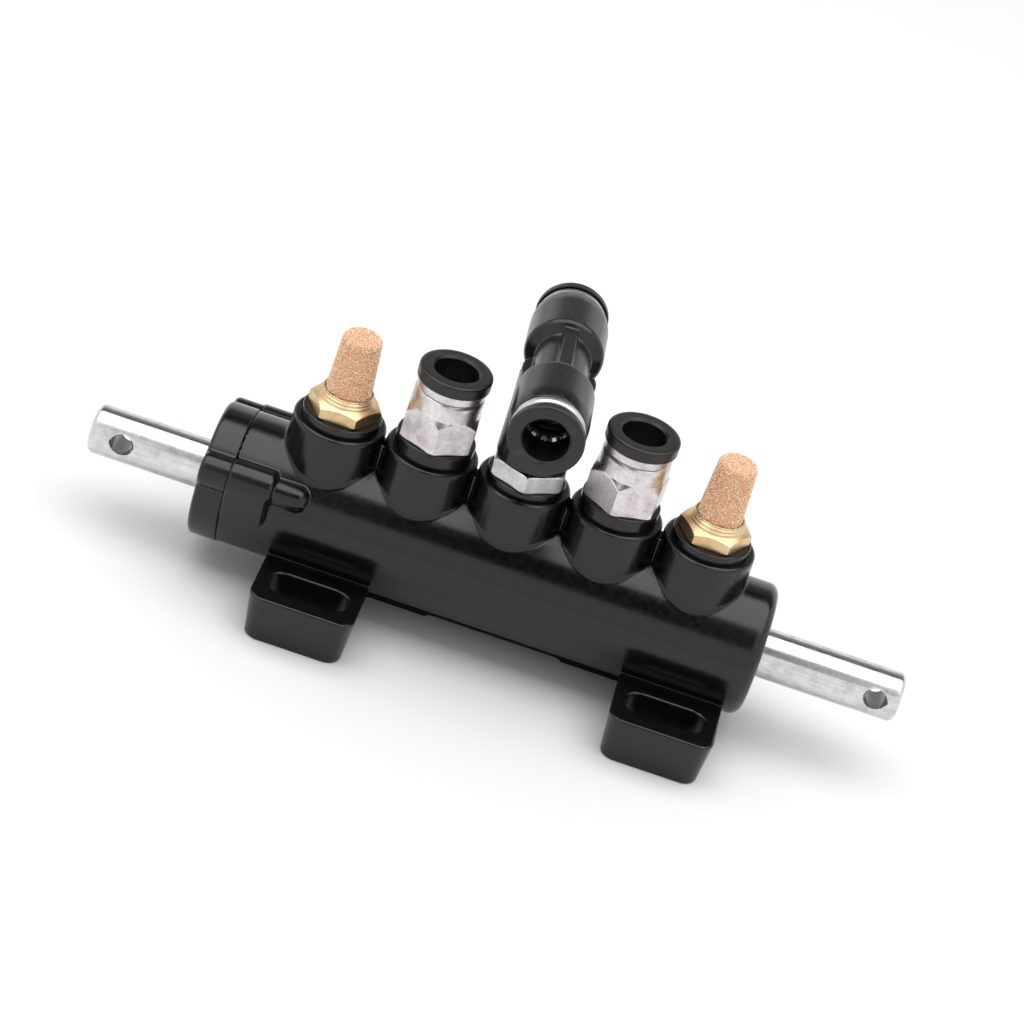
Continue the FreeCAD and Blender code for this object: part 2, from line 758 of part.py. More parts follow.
def tee_shelf():
    """Flat shelf below the neck: nearly as wide as the upright where it leaves it, narrower behind."""
    root = tee_stem_radius - tee_shelf_inset
    end = root - tee_shelf_taper
    outline = [(-root, 0, 0), (root, 0, 0), (end, tee_shelf_reach, tee_shelf_corner_radius),
               (-end, tee_shelf_reach, tee_shelf_corner_radius)]
    shelf = Part.Face(rounded_wire(outline, in_plan)).extrude(Vector(0, 0, tee_shelf_thickness))
    shelf.translate(Vector(0, 0, -tee_shelf_drop - tee_shelf_thickness))
    return shelf


def tee_body():
    """Moulded tee: upright stem, near and far barrels joined by a ribbed neck, two tube sockets."""
    near = -Vector(0, 1, 0)
    far = Vector(0, 1, 0)
    origin = Vector(0, 0, 0)
    floor = tee_seat_gap - tee_run_height
    upright = turned([(0, floor, 0), (tee_stem_radius, floor, edge_break),
                      (tee_stem_radius, 0, edge_break), (0, 0, 0)])
    near_barrel = turned([(0, tee_near_start, 0), (tee_near_radius, tee_near_start, tee_shoulder_radius),
                          (tee_near_radius, tee_mouth_reach, edge_break), (0, tee_mouth_reach, 0)],
                         origin, near)
    shoulder = tee_far_start + tee_far_shoulder
    far_barrel = turned([(0, tee_far_start, 0), (tee_neck_radius, tee_far_start, 0),
                         (tee_far_radius, shoulder, tee_far_shoulder_radius),
                         (tee_far_radius, tee_mouth_reach, edge_break), (0, tee_mouth_reach, 0)], origin, far)
    neck = placed(rod(tee_neck_radius, -tee_near_start - join_overlap, tee_far_start + join_overlap), origin, far)
    rib_start = -tee_near_start - tee_shoulder_radius
    rib_end = tee_far_start + tee_rib_overlap
    rib = Part.makeBox(tee_rib_width, rib_end - rib_start, tee_rib_reach,
                       Vector(-tee_rib_width / 2, rib_start, 0))
    shelf = tee_shelf()
    body = upright.fuse([near_barrel, far_barrel, neck, rib, shelf])
    cuts = [placed(rod(bore_passage_radius, -tee_mouth_reach, tee_mouth_reach), origin, far)]
    for way in (near, far):
        cuts.append(placed(socket_cut(), way * tee_mouth_reach, way))
    post_bore = tee_post_radius + tee_post_clearance
    post_top = floor - tee_seat_gap + tee_post_length + tee_post_end_gap
    bead_low = floor - tee_seat_gap + tee_bead_place - tee_bead_clearance
    bead_top = bead_low + tee_bead_length + 2 * tee_bead_clearance
    cuts += [rod(post_bore, floor, post_top), rod(bore_passage_radius, post_top - join_overlap, 0),
             rod(tee_post_radius + tee_bead_height + tee_bead_clearance, bead_low, bead_top)]
    return tee_frame(body.cut(cuts).removeSplitter())


def all_nodes():
    """Every node of the valve by name."""
    nodes = {"valve_body": valve_body(), "end_cap": end_cap(), "cap_screws": cap_screws(), "spool": spool()}
    for i, x in enumerate(seal_x):
        nodes["spool_seal_%d" % (i + 1)] = spool_seal(x)
    for i, x in enumerate(port_x):
        nodes["spacer_cage_%d" % (i + 1)] = spacer_cage(x)
    silencer_ports = (1, port_count)
    fitting_ports = (2, port_count - 1)
    heights = {tee_port: tee_seal_height}
    heights.update({number: silencer_seal_height for number in silencer_ports})
    heights.update({number: fitting_seal_height for number in fitting_ports})
    for number, height in heights.items():
        nodes["port_seal_%d" % number] = port_seal(number, height)
    for side, number in zip(("left", "right"), silencer_ports):
        nodes["silencer_base_" + side] = silencer_base(number)
        nodes["silencer_element_" + side] = silencer_element(number)
    turns = (fitting_left_turn_deg, fitting_right_turn_deg)
    for side, number, turn_deg in zip(("left", "right"), fitting_ports, turns):
        nodes["fitting_body_" + side] = fitting_body(number, turn_deg)
        mouth = Vector(port_x[number - 1], axis_y, boss_top + fitting_mouth())
        nodes.update(cartridge("fitting_" + side, mouth, upward))
    nodes["tee_stem"] = tee_stem()
    nodes["tee_stem_seal"] = tee_stem_seal()
    nodes["tee_body"] = tee_body()
    for side, way in (("near", Vector(0, -1, 0)), ("far", Vector(0, 1, 0))):
        for name, shape in cartridge("tee_" + side, way * tee_mouth_reach, way).items():
            nodes[name] = tee_frame(shape)
    return nodes


os.makedirs("parts", exist_ok=True)
for name, shape in all_nodes().items():
    if not shape.isValid():
        print("not valid:", name)
    shape.exportStep("parts/" + name + ".step")
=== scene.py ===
import math

import bpy
import numpy as np
from mathutils import Matrix, Vector


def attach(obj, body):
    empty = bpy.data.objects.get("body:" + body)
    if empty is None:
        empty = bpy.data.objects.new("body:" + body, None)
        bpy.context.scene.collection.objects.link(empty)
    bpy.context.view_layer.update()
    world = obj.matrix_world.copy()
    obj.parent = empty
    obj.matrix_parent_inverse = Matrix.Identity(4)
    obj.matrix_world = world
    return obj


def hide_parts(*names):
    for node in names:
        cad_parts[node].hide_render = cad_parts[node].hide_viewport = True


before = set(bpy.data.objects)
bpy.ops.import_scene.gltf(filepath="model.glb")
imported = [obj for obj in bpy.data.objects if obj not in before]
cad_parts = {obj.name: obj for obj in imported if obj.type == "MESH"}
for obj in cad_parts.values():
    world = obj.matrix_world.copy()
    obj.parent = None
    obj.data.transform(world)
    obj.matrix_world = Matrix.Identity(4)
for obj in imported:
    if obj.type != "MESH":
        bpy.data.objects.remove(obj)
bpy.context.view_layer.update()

# Valve body. One injection moulding in black glass-filled nylon: a barrel with five drafted port
# bosses, a screw flange at the cap end, two slotted feet and a rail between them. It is bored for the
# spool afterwards. Every edge has the small radius that the mould leaves.

MM = 0.001
AXIS_Y, AXIS_Z = 18.25, 17.1
BARREL_LEFT, BARREL_RIGHT, BARREL_RADIUS = -55.18, 48.32, 12.9
MIDDLE_PORT_X, PORT_PITCH, BOSS_TOP = -3.43, 18.0, 36.5
PORT_X = [MIDDLE_PORT_X + PORT_PITCH * k for k in (-2, -1, 0, 1, 2)]
BOSS_RADIUS, BOSS_GROWTH, BOSS_HEIGHT, BOSS_FOOT = 8.8, 0.4, 15.4, 4.0
RIM_RISE, SHOULDER_RISE = 19.4, 17.4
WEB_MIDDLE, WEB_SIDE, WEB_RADIUS = 9.0, 2.343, 0.5
BORE_RADIUS, BORE_RIGHT, GUIDE_RADIUS = 7.5, 43.07, 4.85
TAP_RADIUS, TAP_FLOOR, PASSAGE_RADIUS = 4.86, 10.9, 3.0
FLANGE_RIGHT, NUB_RIGHT, SCREW_RIGHT = -46.63, -39.93, -43.18
COS_30, SIN_30 = 0.866, 0.5
LUG_REACH = 12.2
LUG_SIDE, LUG_RISE = LUG_REACH * math.cos(math.radians(30)), 6.1
FLANGE_LUG, NUB_RADIUS, SCREW_HOLE, SCREW_DROP = 3.65, 2.5, 1.5, 9.9
PAD_HALF, PAD_TOP, PAD_BOTTOM = 4.0, -7.0, -13.0
FOOT_X, FOOT_HALF, FOOT_TOP, FOOT_FRONT, FOOT_BACK = 34.75, 10.1, 9.6, -7.15, 27.25
FOOT_CORNER, FOOT_DRAFT_DEG = 3.0, 4.5
SLOT_HALF, SLOT_RADIUS = 4.75, 3.25
RAIL_Y, RAIL_HALF = 4.45, 4.55
RELIEF_END, RELIEF_SLOPE, RELIEF_HEIGHT = 13.95, 1.2, 0.65


def join(a, b, radius):
    """Union of two distance fields with a concave fillet."""
    gap_a, gap_b = np.maximum(radius - a, 0), np.maximum(radius - b, 0)
    return np.maximum(radius, np.minimum(a, b)) - np.hypot(gap_a, gap_b)


def trim(a, b, radius):
    """Part of field a inside field b, with a rounded edge."""
    over_a, over_b = np.maximum(radius + a, 0), np.maximum(radius + b, 0)
    return np.minimum(-radius, np.maximum(a, b)) + np.hypot(over_a, over_b)


def rounded_corner(a, b, radius):
    """Field of a corner between two faces, rounded off to the side where both end."""
    over_a, over_b = a + radius, b + radius
    outside = np.hypot(np.maximum(over_a, 0), np.maximum(over_b, 0))
    return outside + np.minimum(np.maximum(over_a, over_b), 0) - radius


def gradient(field, points, reach=0.02):
    """Slope of a field, by differences."""
    slope = np.empty_like(points)
    for k in range(3):
        step = np.zeros(3)
        step[k] = reach
        slope[:, k] = (field(points + step) - field(points - step)) / (2 * reach)
    return slope


def settle(field, points, rounds, longest):
    """Moves points onto the field's zero surface."""
    for _ in range(rounds):
        slope = gradient(field, points)
        size = np.maximum((slope ** 2).sum(1), 1e-4)
        points = points - slope * (np.clip(field(points), -longest, longest) / size)[:, None]
    return points


def skin(field, low, high, cell):
    """Closed quad skin of a field in millimetres, drawn to its edges, and which of its points are flat."""
    low = np.array(low, float) - 2 * cell
    blocks = np.ceil((np.array(high) + 2 * cell - low) / (4 * cell)).astype(int)
    axes = [low[k] + cell * np.arange(4 * blocks[k]) for k in range(3)]
    centres = np.stack(np.meshgrid(*[a[::4] + 1.5 * cell for a in axes], indexing="ij"), -1)
    rough = field(centres.reshape(-1, 3)).reshape(blocks)
    for k in range(3):
        rough = rough.repeat(4, axis=k)
    near = np.abs(rough) < 5 * cell
    values = np.where(rough < 0, -10.0, 10.0)
    spots = np.argwhere(near)
    values[near] = field(low + cell * spots)
    inside = values < 0
    quads, crossings = [], []
    for k in range(3):
        before, after = [slice(None)] * 3, [slice(None)] * 3
        before[k], after[k] = slice(0, -1), slice(1, None)
        start = np.argwhere(inside[tuple(before)] != inside[tuple(after)])
        end = start.copy()
        end[:, k] += 1
        first, last = values[tuple(start.T)], values[tuple(end.T)]
        point = start.astype(float)
        point[:, k] += first / (first - last)
        across, along = (k + 1) % 3, (k + 2) % 3
        corners = []
        for shift in ((0, 0), (-1, 0), (-1, -1), (0, -1)):
            corner = start.copy()
            corner[:, across] += shift[0]
            corner[:, along] += shift[1]
            corners.append(np.ravel_multi_index(corner.T, values.shape))
        quad = np.stack(corners, 1)
        entering = first >= 0
        quad[entering] = quad[entering][:, ::-1]
        quads.append(quad)
        crossings.append(point)
    quads, crossings = np.concatenate(quads), low + cell * np.concatenate(crossings)
    _, member = np.unique(quads.ravel(), return_inverse=True)
    member = member.ravel()
    count = np.bincount(member)
    slopes = gradient(field, crossings)
    slopes = np.repeat(slopes / np.linalg.norm(slopes, axis=1)[:, None], 4, axis=0)
    four = np.repeat(crossings, 4, axis=0)
    centre = np.stack([np.bincount(member, weights=four[:, k]) / count for k in range(3)], 1)
    offset = ((four - centre[member]) * slopes).sum(1)
    square = np.tile(0.08 * np.eye(3), (len(count), 1, 1))
    pull = np.empty((len(count), 3, 1))
    for i in range(3):
        pull[:, i, 0] = np.bincount(member, weights=slopes[:, i] * offset)
        for k in range(3):
            square[:, i, k] += np.bincount(member, weights=slopes[:, i] * slopes[:, k])
    shift = np.linalg.solve(square, pull)[:, :, 0]
    length = np.maximum(np.linalg.norm(shift, axis=1), 1e-9)
    shift *= np.minimum(1, 0.7 * cell / length)[:, None]
    mean = np.stack([np.bincount(member, weights=slopes[:, k]) / count for k in range(3)], 1)
    flat = np.linalg.norm(mean, axis=1) > 0.985
    return settle(field, centre + shift, 2, 0.5 * cell), member.reshape(-1, 4), flat


def mesh_object(name, points, faces, normals=None):
    """Object at the origin from points in millimetres."""
    mesh = bpy.data.meshes.new(name)
    faces = faces.tolist() if isinstance(faces, np.ndarray) else faces
    mesh.from_pydata((np.asarray(points) * MM).tolist(), [], faces)
    mesh.update()
    mesh.shade_smooth()
    if normals is not None:
        mesh.normals_split_custom_set_from_vertices(np.asarray(normals).tolist())
    piece = bpy.data.objects.new(name, mesh)
    bpy.context.scene.collection.objects.link(piece)
    return piece


def evaluated_mesh(piece):
    """Gives a piece the plain mesh that its modifiers make, and takes them off."""
    graph = bpy.context.evaluated_depsgraph_get()
    mesh = bpy.data.meshes.new_from_object(piece.evaluated_get(graph))
    piece.modifiers.clear()
    old, piece.data = piece.data, mesh
    bpy.data.meshes.remove(old)
    mesh.name = piece.name
    return mesh


def moulded(name, field, low, high, cell, share):
    """Piece skinned from a field, thinned where it is flat, with the field's own normals."""
    points, quads, flat = skin(field, low, high, cell)
    piece = mesh_object(name, points, quads)
    piece.vertex_groups.new(name="flat").add(np.flatnonzero(flat).tolist(), 1.0, "REPLACE")
    thin = piece.modifiers.new("thin", "DECIMATE")
    thin.ratio, thin.vertex_group = share, "flat"
    mesh = evaluated_mesh(piece)
    piece.vertex_groups.clear()
    points = np.empty(len(mesh.vertices) * 3)
    mesh.vertices.foreach_get("co", points)
    points = settle(field, points.reshape(-1, 3) / MM, 2, 0.05)
    normals = gradient(field, points)
    normals /= np.linalg.norm(normals, axis=1)[:, None]
    mesh.vertices.foreach_set("co", (points * MM).ravel())
    mesh.update()
    mesh.shade_smooth()
    mesh.normals_split_custom_set_from_vertices(normals.tolist())
    return piece


def dress(piece, material, slot, body, *nodes):
    """Gives a piece its material, its body and the frame nodes that it stands for. The slot is not used."""
    piece.data.materials.clear()
    piece.data.materials.append(material)
    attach(piece, body)
    if nodes:
        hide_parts(*nodes)


def port_offset(x):
    """Number of the nearest port, from the middle one, and the distance along X from its axis."""
    number = np.clip(np.round((x - MIDDLE_PORT_X) / PORT_PITCH), -2, 2)
    return number, x - MIDDLE_PORT_X - PORT_PITCH * number


def boss_row(x, y, z):
    """Five drafted bosses with hollow valleys between them; y and z count from the spool axis."""
    number, u = port_offset(x)
    growth = BOSS_GROWTH * (RIM_RISE - z) / BOSS_HEIGHT
    boss = np.hypot(u, y) - BOSS_RADIUS - growth
    end, side = np.abs(u), np.abs(y)
    hollow = WEB_RADIUS - growth - np.hypot(end - WEB_MIDDLE, side - WEB_SIDE)
    between = (side * WEB_MIDDLE < end * WEB_SIDE) & (np.abs(number + np.sign(u)) < 3)
    bridge = np.where(between, hollow, 9.0)
    low_row = trim(np.minimum(boss, bridge), z - SHOULDER_RISE, 0.5)
    row = np.minimum(trim(boss, z - RIM_RISE, 0.65), low_row)
    return np.maximum(row, BOSS_FOOT - z)


def screw_lugs(side, z, radius):
    """Lug of a cap screw beside the barrel, drawn down to it by a tangent; it leaves a sharp fold above."""
    lug = np.hypot(side - LUG_SIDE, z - LUG_RISE) - radius
    above = z * COS_30 - side * SIN_30
    along = side * COS_30 + z * SIN_30
    lean = (BARREL_RADIUS - radius) / LUG_REACH
    flank = math.sqrt(1 - lean * lean)
    place = along * flank + above * lean
    below = np.where(place > flank * LUG_REACH, lug, along * lean - above * flank - BARREL_RADIUS)
    below = np.where(place < 0, 9.0, below)
    return np.where(above < 0, below, lug)


def feet(p):
    """Two drafted feet with slots, and the rail between them."""
    x, y, height = p[:, 0], p[:, 1], p[:, 2]
    draw = (FOOT_TOP - np.clip(height, 0, FOOT_TOP)) * math.tan(math.radians(FOOT_DRAFT_DEG))
    off = np.abs(np.abs(x) - FOOT_X)
    foot = rounded_corner(off - FOOT_HALF + draw, draw + FOOT_FRONT - y, FOOT_CORNER)
    foot = trim(foot, y - FOOT_BACK, 0.4)
    foot = trim(trim(foot, height - FOOT_TOP, 0.3), -height, 0.3)
    slot = np.hypot(np.maximum(off - SLOT_HALF, 0), y) - SLOT_RADIUS
    foot = trim(foot, -slot, 0.2)
    relief = np.clip((RELIEF_END - np.abs(x)) / RELIEF_SLOPE, 0, 1) * RELIEF_HEIGHT
    rail = trim(np.abs(y - AXIS_Y - RAIL_Y) - RAIL_HALF, relief - height, 0.4)
    rail = np.maximum(np.maximum(rail, height - AXIS_Z), np.abs(x) - FOOT_X)
    return np.minimum(foot, rail)


def body_field(p):
    """Distance field of the valve body."""
    x, y, z = p[:, 0], p[:, 1] - AXIS_Y, p[:, 2] - AXIS_Z
    side, ring = np.abs(y), np.hypot(y, z)
    solid = join(trim(ring - BARREL_RADIUS, x - BARREL_RIGHT, 2.2), boss_row(x, y, z), 0.5)
    outline = screw_lugs(side, z, FLANGE_LUG)
    lug = trim(outline, x - FLANGE_RIGHT, 1.0)
    pad = trim(np.maximum(side - PAD_HALF, z - PAD_TOP), PAD_BOTTOM - z, 0.4)
    pad = trim(pad, x - FLANGE_RIGHT, 0.4)
    upper_flange = (x < FLANGE_RIGHT - 0.27) & (side * SIN_30 < z * COS_30)
    fold = np.where(upper_flange, 0.4, np.clip(-outline, 0.02, 0.4))
    solid = np.minimum(join(solid, lug, fold), pad)
    nub = trim(np.hypot(side - LUG_SIDE, z - LUG_RISE) - NUB_RADIUS, x - NUB_RIGHT, 2.1)
    solid = join(join(solid, nub, 0.45), feet(p), 0.4)
    solid = trim(solid, BARREL_LEFT - x, 0.1)
    port = np.hypot(port_offset(x)[1], y)
    tapped, passage = np.maximum(port - TAP_RADIUS, TAP_FLOOR - z), np.maximum(port - PASSAGE_RADIUS, -z)
    solid = trim(solid, -np.minimum(tapped, passage), 0.3)
    bore = np.minimum(np.maximum(ring - BORE_RADIUS, x - BORE_RIGHT), ring - GUIDE_RADIUS)
    screw = np.minimum(np.hypot(side - LUG_SIDE, z - LUG_RISE), np.hypot(y, z + SCREW_DROP)) - SCREW_HOLE
    return trim(solid, -np.minimum(bore, np.maximum(screw, x - SCREW_RIGHT)), 0.25)


def node_maker(tree):
    """Short way to add a node to a tree, set its inputs and link what is given as a socket."""

    def add(kind, **inputs):
        node = tree.nodes.new(kind)
        for name, value in inputs.items():
            if hasattr(node, name):
                setattr(node, name, value)
                continue
            numbered = name[0] == "i" and name[1:].isdigit()
            socket = node.inputs[int(name[1:]) if numbered else name.replace("_", " ")]
            if isinstance(value, bpy.types.NodeSocket):
                tree.links.new(value, socket)
            else:
                socket.default_value = value
        return node

    return add


def new_material(name, colour, roughness, metallic=0.0):
    """Principled material with its plain values on the shader itself."""
    material = bpy.data.materials.new(name)
    material.use_nodes = True
    shader = material.node_tree.nodes["Principled BSDF"]
    shader.inputs["Base Color"].default_value = (*colour, 1)
    shader.inputs["Roughness"].default_value = roughness
    shader.inputs["Metallic"].default_value = metallic
    shader.inputs["IOR"].default_value = 1.5
    return material, shader


def patterned(name, colour, roughness, metallic=0.0):
    """Material, its shader, its node maker and the object's own coordinates for its patterns."""
    material, shader = new_material(name, colour, roughness, metallic)
    add = node_maker(material.node_tree)
    return material, shader, add, add("ShaderNodeTexCoord").outputs["Object"]


def noise(add, place, scale, detail, roughness=0.5):
    """Noise factor over a place."""
    node = add("ShaderNodeTexNoise", Vector=place, Scale=scale, Detail=detail, Roughness=roughness)
    return node.outputs["Fac"]


def ramp(add, factor, *stops):
    """Colour ramp from (place, grey or colour) stops."""
    node = add("ShaderNodeValToRGB", Fac=factor)
    elements = node.color_ramp.elements
    while len(elements) < len(stops):
        elements.new(0.5)
    for element, (place, value) in zip(elements, stops):
        element.position = place
        element.color = (value, value, value, 1) if isinstance(value, (int, float)) else (*value, 1)
    return node.outputs["Color"]


def darkened(add, colour, shade):
    """Colour multiplied by a shade."""
    mixed = add("ShaderNodeMix", data_type="RGBA", blend_type="MULTIPLY", i0=1.0, i6=colour, i7=shade)
    return mixed.outputs[2]


def coat(shader, add, colour, roughness, relief, strength, depth=0.00003):
    """Feeds the shader its colour, its roughness and a relief."""
    bump = add("ShaderNodeBump", Strength=strength, Distance=depth, Height=relief).outputs["Normal"]
    for name, source in (("Base Color", colour), ("Roughness", roughness), ("Normal", bump)):
        shader.id_data.links.new(source, shader.inputs[name])


def moulded_plastic(name, dark, light, smooth, rough, grain=1.0):
    """Moulded black plastic: faint flow marks in colour and gloss, and the mould's fine skin as relief."""
    material, shader, add, place = patterned(name, light, rough)
    flow = noise(add, place, 60.0, 3.0)
    skin_grain = noise(add, place, 2600.0, 2.0, 0.6)
    dust = noise(add, place, 900.0, 4.0, 0.7)
    worn = add("ShaderNodeNewGeometry").outputs["Pointiness"]
    edge = ramp(add, worn, (0.53, 0.0), (0.62, 1.0))
    worn_tone = (*[min(1, c * 2.2) for c in light], 1)
    tone = ramp(add, flow, (0.3, dark), (0.7, light))
    mixed = add("ShaderNodeMix", data_type="RGBA", i0=edge, i6=tone, i7=worn_tone)
    gloss = ramp(add, dust, (0.35, smooth), (0.75, rough))
    coat(shader, add, mixed.outputs[2], gloss, skin_grain, 0.10 * grain, 0.00004)
    return material


body_plastic = moulded_plastic("black_nylon", (0.0020, 0.0020, 0.0022), (0.0034, 0.0034, 0.0036), 0.17, 0.27)
body_low, body_high = (BARREL_LEFT, -7.2, 0), (BARREL_RIGHT, 34.6, BOSS_TOP)
valve_body = moulded("valve_body_moulding", body_field, body_low, body_high, 0.42, 0.42)
dress(valve_body, body_plastic, "black_body", "valve", "valve_body")

# End cap. A separate moulding in the same nylon, pushed into the bore by its spigot and held by three
# screws through its lugs. It guides the left end of the spool.

CAP_LEFT, CAP_STEP, EAR_RADIUS = -60.88, 0.15, 3.35
FACE_STEP, HEAD_HOLE, HEAD_DEPTH = 1.0, 2.45, 2.2
SPIGOT_RADIUS, SPIGOT_RIGHT = 7.4, -49.93


def cap_field(p):
    """Distance field of the end cap."""
    x, y, z = p[:, 0], p[:, 1] - AXIS_Y, p[:, 2] - AXIS_Z
    side, ring = np.abs(y), np.hypot(y, z)
    lug = np.hypot(side - LUG_SIDE, z - LUG_RISE)
    disc = trim(ring - BARREL_RADIUS - CAP_STEP, CAP_LEFT - x, 1.0)
    solid = join(disc, trim(lug - EAR_RADIUS, CAP_LEFT - x, 1.0), 0.5)
    pad = trim(np.maximum(side - PAD_HALF, z - PAD_TOP), PAD_BOTTOM - z, 0.4)
    pad = trim(pad, CAP_LEFT + FACE_STEP - x, 0.4)
    solid = trim(np.minimum(solid, pad), x - BARREL_LEFT, 0.1)
    spigot = np.maximum(trim(ring - SPIGOT_RADIUS, x - SPIGOT_RIGHT, 0.4), CAP_LEFT + FACE_STEP - x)
    screw = np.minimum(lug, np.hypot(y, z + SCREW_DROP))
    hole = np.minimum(screw - SCREW_HOLE, np.maximum(screw - HEAD_HOLE, x - CAP_LEFT - HEAD_DEPTH))
    return trim(np.minimum(solid, spigot), -np.minimum(ring - GUIDE_RADIUS, hole), 0.25)


cap_plastic = moulded_plastic("black_nylon_cap", (0.0022, 0.0022, 0.0024), (0.0038, 0.0038, 0.0040),
                              0.17, 0.27)
end_cap = moulded("end_cap_moulding", cap_field, (CAP_LEFT, 4.0, 4.0), (-49.9, 32.5, 30.1), 0.3, 0.5)
dress(end_cap, cap_plastic, "black_cap", "valve", "end_cap")

# Cap screws. Three zinc-plated socket-head thread-forming screws that pull the cap onto the flange.
# One screw is turned once and set three times by a node tree.


def arc_profile(corners, closed):
    """Points and outward normals along a section of corners (radius, height, rounding)."""
    spots, normals = [], []
    count = len(corners)
    for i, (radius, height, rounding) in enumerate(corners):
        here = np.array([radius, height])
        back = np.array(corners[i - 1][:2]) - here
        ahead = np.array(corners[(i + 1) % count][:2]) - here
        if not closed and i in (0, count - 1):
            line = ahead if i == 0 else -back
            line = line / np.linalg.norm(line)
            spots.append(here)
            normals.append([line[1], -line[0]])
            continue
        back, ahead = back / np.linalg.norm(back), ahead / np.linalg.norm(ahead)
        turn = back[0] * ahead[1] - back[1] * ahead[0]
        if abs(turn) < 1e-4:
            spots.append(here)
            normals.append([ahead[1], -ahead[0]])
            continue
        half = math.acos(max(-1, min(1, float(back @ ahead)))) / 2
        rounding = max(rounding, 0.04)
        reach = rounding / math.tan(half)
        middle = here + (back + ahead) / np.linalg.norm(back + ahead) * rounding / math.sin(half)
        start, end = here + back * reach - middle, here + ahead * reach - middle
        out = 1 if turn < 0 else -1
        steps = 7 if rounding > 0.15 else 4
        for k in range(steps + 1):
            spoke = start * (1 - k / steps) + end * (k / steps)
            spoke = spoke / np.linalg.norm(spoke)
            spots.append(middle + spoke * rounding)
            normals.append(list(spoke * out))
    return np.array(spots), np.array(normals)


def frame_of(direction):
    """Two directions square to a direction, and the direction itself."""
    w = np.array(Vector(direction).normalized())
    helper = np.array([1.0, 0, 0]) if abs(w[0]) < 0.9 else np.array([0, 1.0, 0])
    u = np.cross(helper, w)
    u /= np.linalg.norm(u)
    return u, np.cross(w, u), w


def turned(name, corners, base=(0, 0, 0), direction=(0, 0, 1), steps=96, closed=True):
    """Turned piece. Its section runs anticlockwise with the radius to the right, so faces look outwards."""
    spots, slants = arc_profile(corners, closed)
    u, v, w = frame_of(direction)
    angles = 2 * math.pi * np.arange(steps) / steps
    rays = np.cos(angles)[:, None] * u + np.sin(angles)[:, None] * v
    points = (np.array(base) + spots[:, None, 0:1] * rays[None] + spots[:, None, 1:2] * w).reshape(-1, 3)
    normals = (slants[:, None, 0:1] * rays[None] + slants[:, None, 1:2] * w).reshape(-1, 3)
    rows = len(spots)
    faces = []
    for i in range(rows if closed else rows - 1):
        j = (i + 1) % rows
        for k in range(steps):
            m = (k + 1) % steps
            faces.append((i * steps + k, i * steps + m, j * steps + m, j * steps + k))
    if not closed:
        faces.append(tuple(range(steps - 1, -1, -1)))
        faces.append(tuple((rows - 1) * steps + k for k in range(steps)))
    return mesh_object(name, points, faces, normals)


SCREW_SEAT = CAP_LEFT + HEAD_DEPTH
SHANK, HEAD, SOCKET, TIP = 1.45, 2.3, 0.9, 14.0
head_section = [(0.02, -0.8, 0), (SOCKET, -0.8, 0.1), (SOCKET, -1.9, 0.12), (HEAD, -1.9, 0.45),
                (HEAD, 0, 0.1)]
shank_section = [(SHANK, 0, 0.1), (SHANK, TIP, 0.55), (0.02, TIP, 0)]
screw_blank = turned("screw_blank", (head_section + shank_section)[::-1], steps=48, closed=False)


def new_tree(name, *inputs):
    """Geometry node tree with named inputs: the tree, their identifiers, its node maker, what comes in."""
    tree = bpy.data.node_groups.new(name, "GeometryNodeTree")
    tree.interface.new_socket("Geometry", in_out="OUTPUT", socket_type="NodeSocketGeometry")
    identifiers = {}
    for title, kind in inputs:
        socket = tree.interface.new_socket(title, in_out="INPUT", socket_type="NodeSocket" + kind)
        identifiers[title] = socket.identifier
    add = node_maker(tree)
    return tree, identifiers, add, add("NodeGroupInput").outputs


def close_tree(tree, add, finish, geometries, smooth=False):
    """Joins geometries, makes their instances real, gives them their finish and hands them out."""
    gather = add("GeometryNodeJoinGeometry")
    for geometry in geometries:
        tree.links.new(geometry, gather.inputs[0])
    joined = add("GeometryNodeRealizeInstances", i0=gather.outputs[0]).outputs[0]
    if smooth:
        joined = add("GeometryNodeSetShadeSmooth", Geometry=joined).outputs[0]
    paint = add("GeometryNodeSetMaterial", Geometry=joined, Material=finish)
    add("NodeGroupOutput", i0=paint.outputs[0])


def set_by_nodes(name, tree, identifiers, values):
    """Runs a node tree on an empty piece and returns it as a plain mesh piece."""
    piece = mesh_object(name, np.zeros((1, 3)), [])
    modifier = piece.modifiers.new("build", "NODES")
    modifier.node_group = tree
    for title, value in values.items():
        modifier[identifiers[title]] = value
    evaluated_mesh(piece)
    return piece


def plated_steel(name, colour, low, high, scale):
    """Plated steel: soft blotches in gloss and fine turning marks."""
    material, shader, add, place = patterned(name, colour, high, metallic=1.0)
    blotch = noise(add, place, scale, 4.0, 0.6)
    shade = ramp(add, blotch, (0.25, tuple(0.8 * c for c in colour)), (0.7, colour))
    gloss = ramp(add, blotch, (0.3, low), (0.7, high))
    coat(shader, add, shade, gloss, noise(add, place, scale * 9, 2.0), 0.12)
    return material


def arithmetic(add, operation, a, b):
    """Result of a sum that nodes do on two values."""
    return add("ShaderNodeMath", operation=operation, i0=a, i1=b).outputs[0]


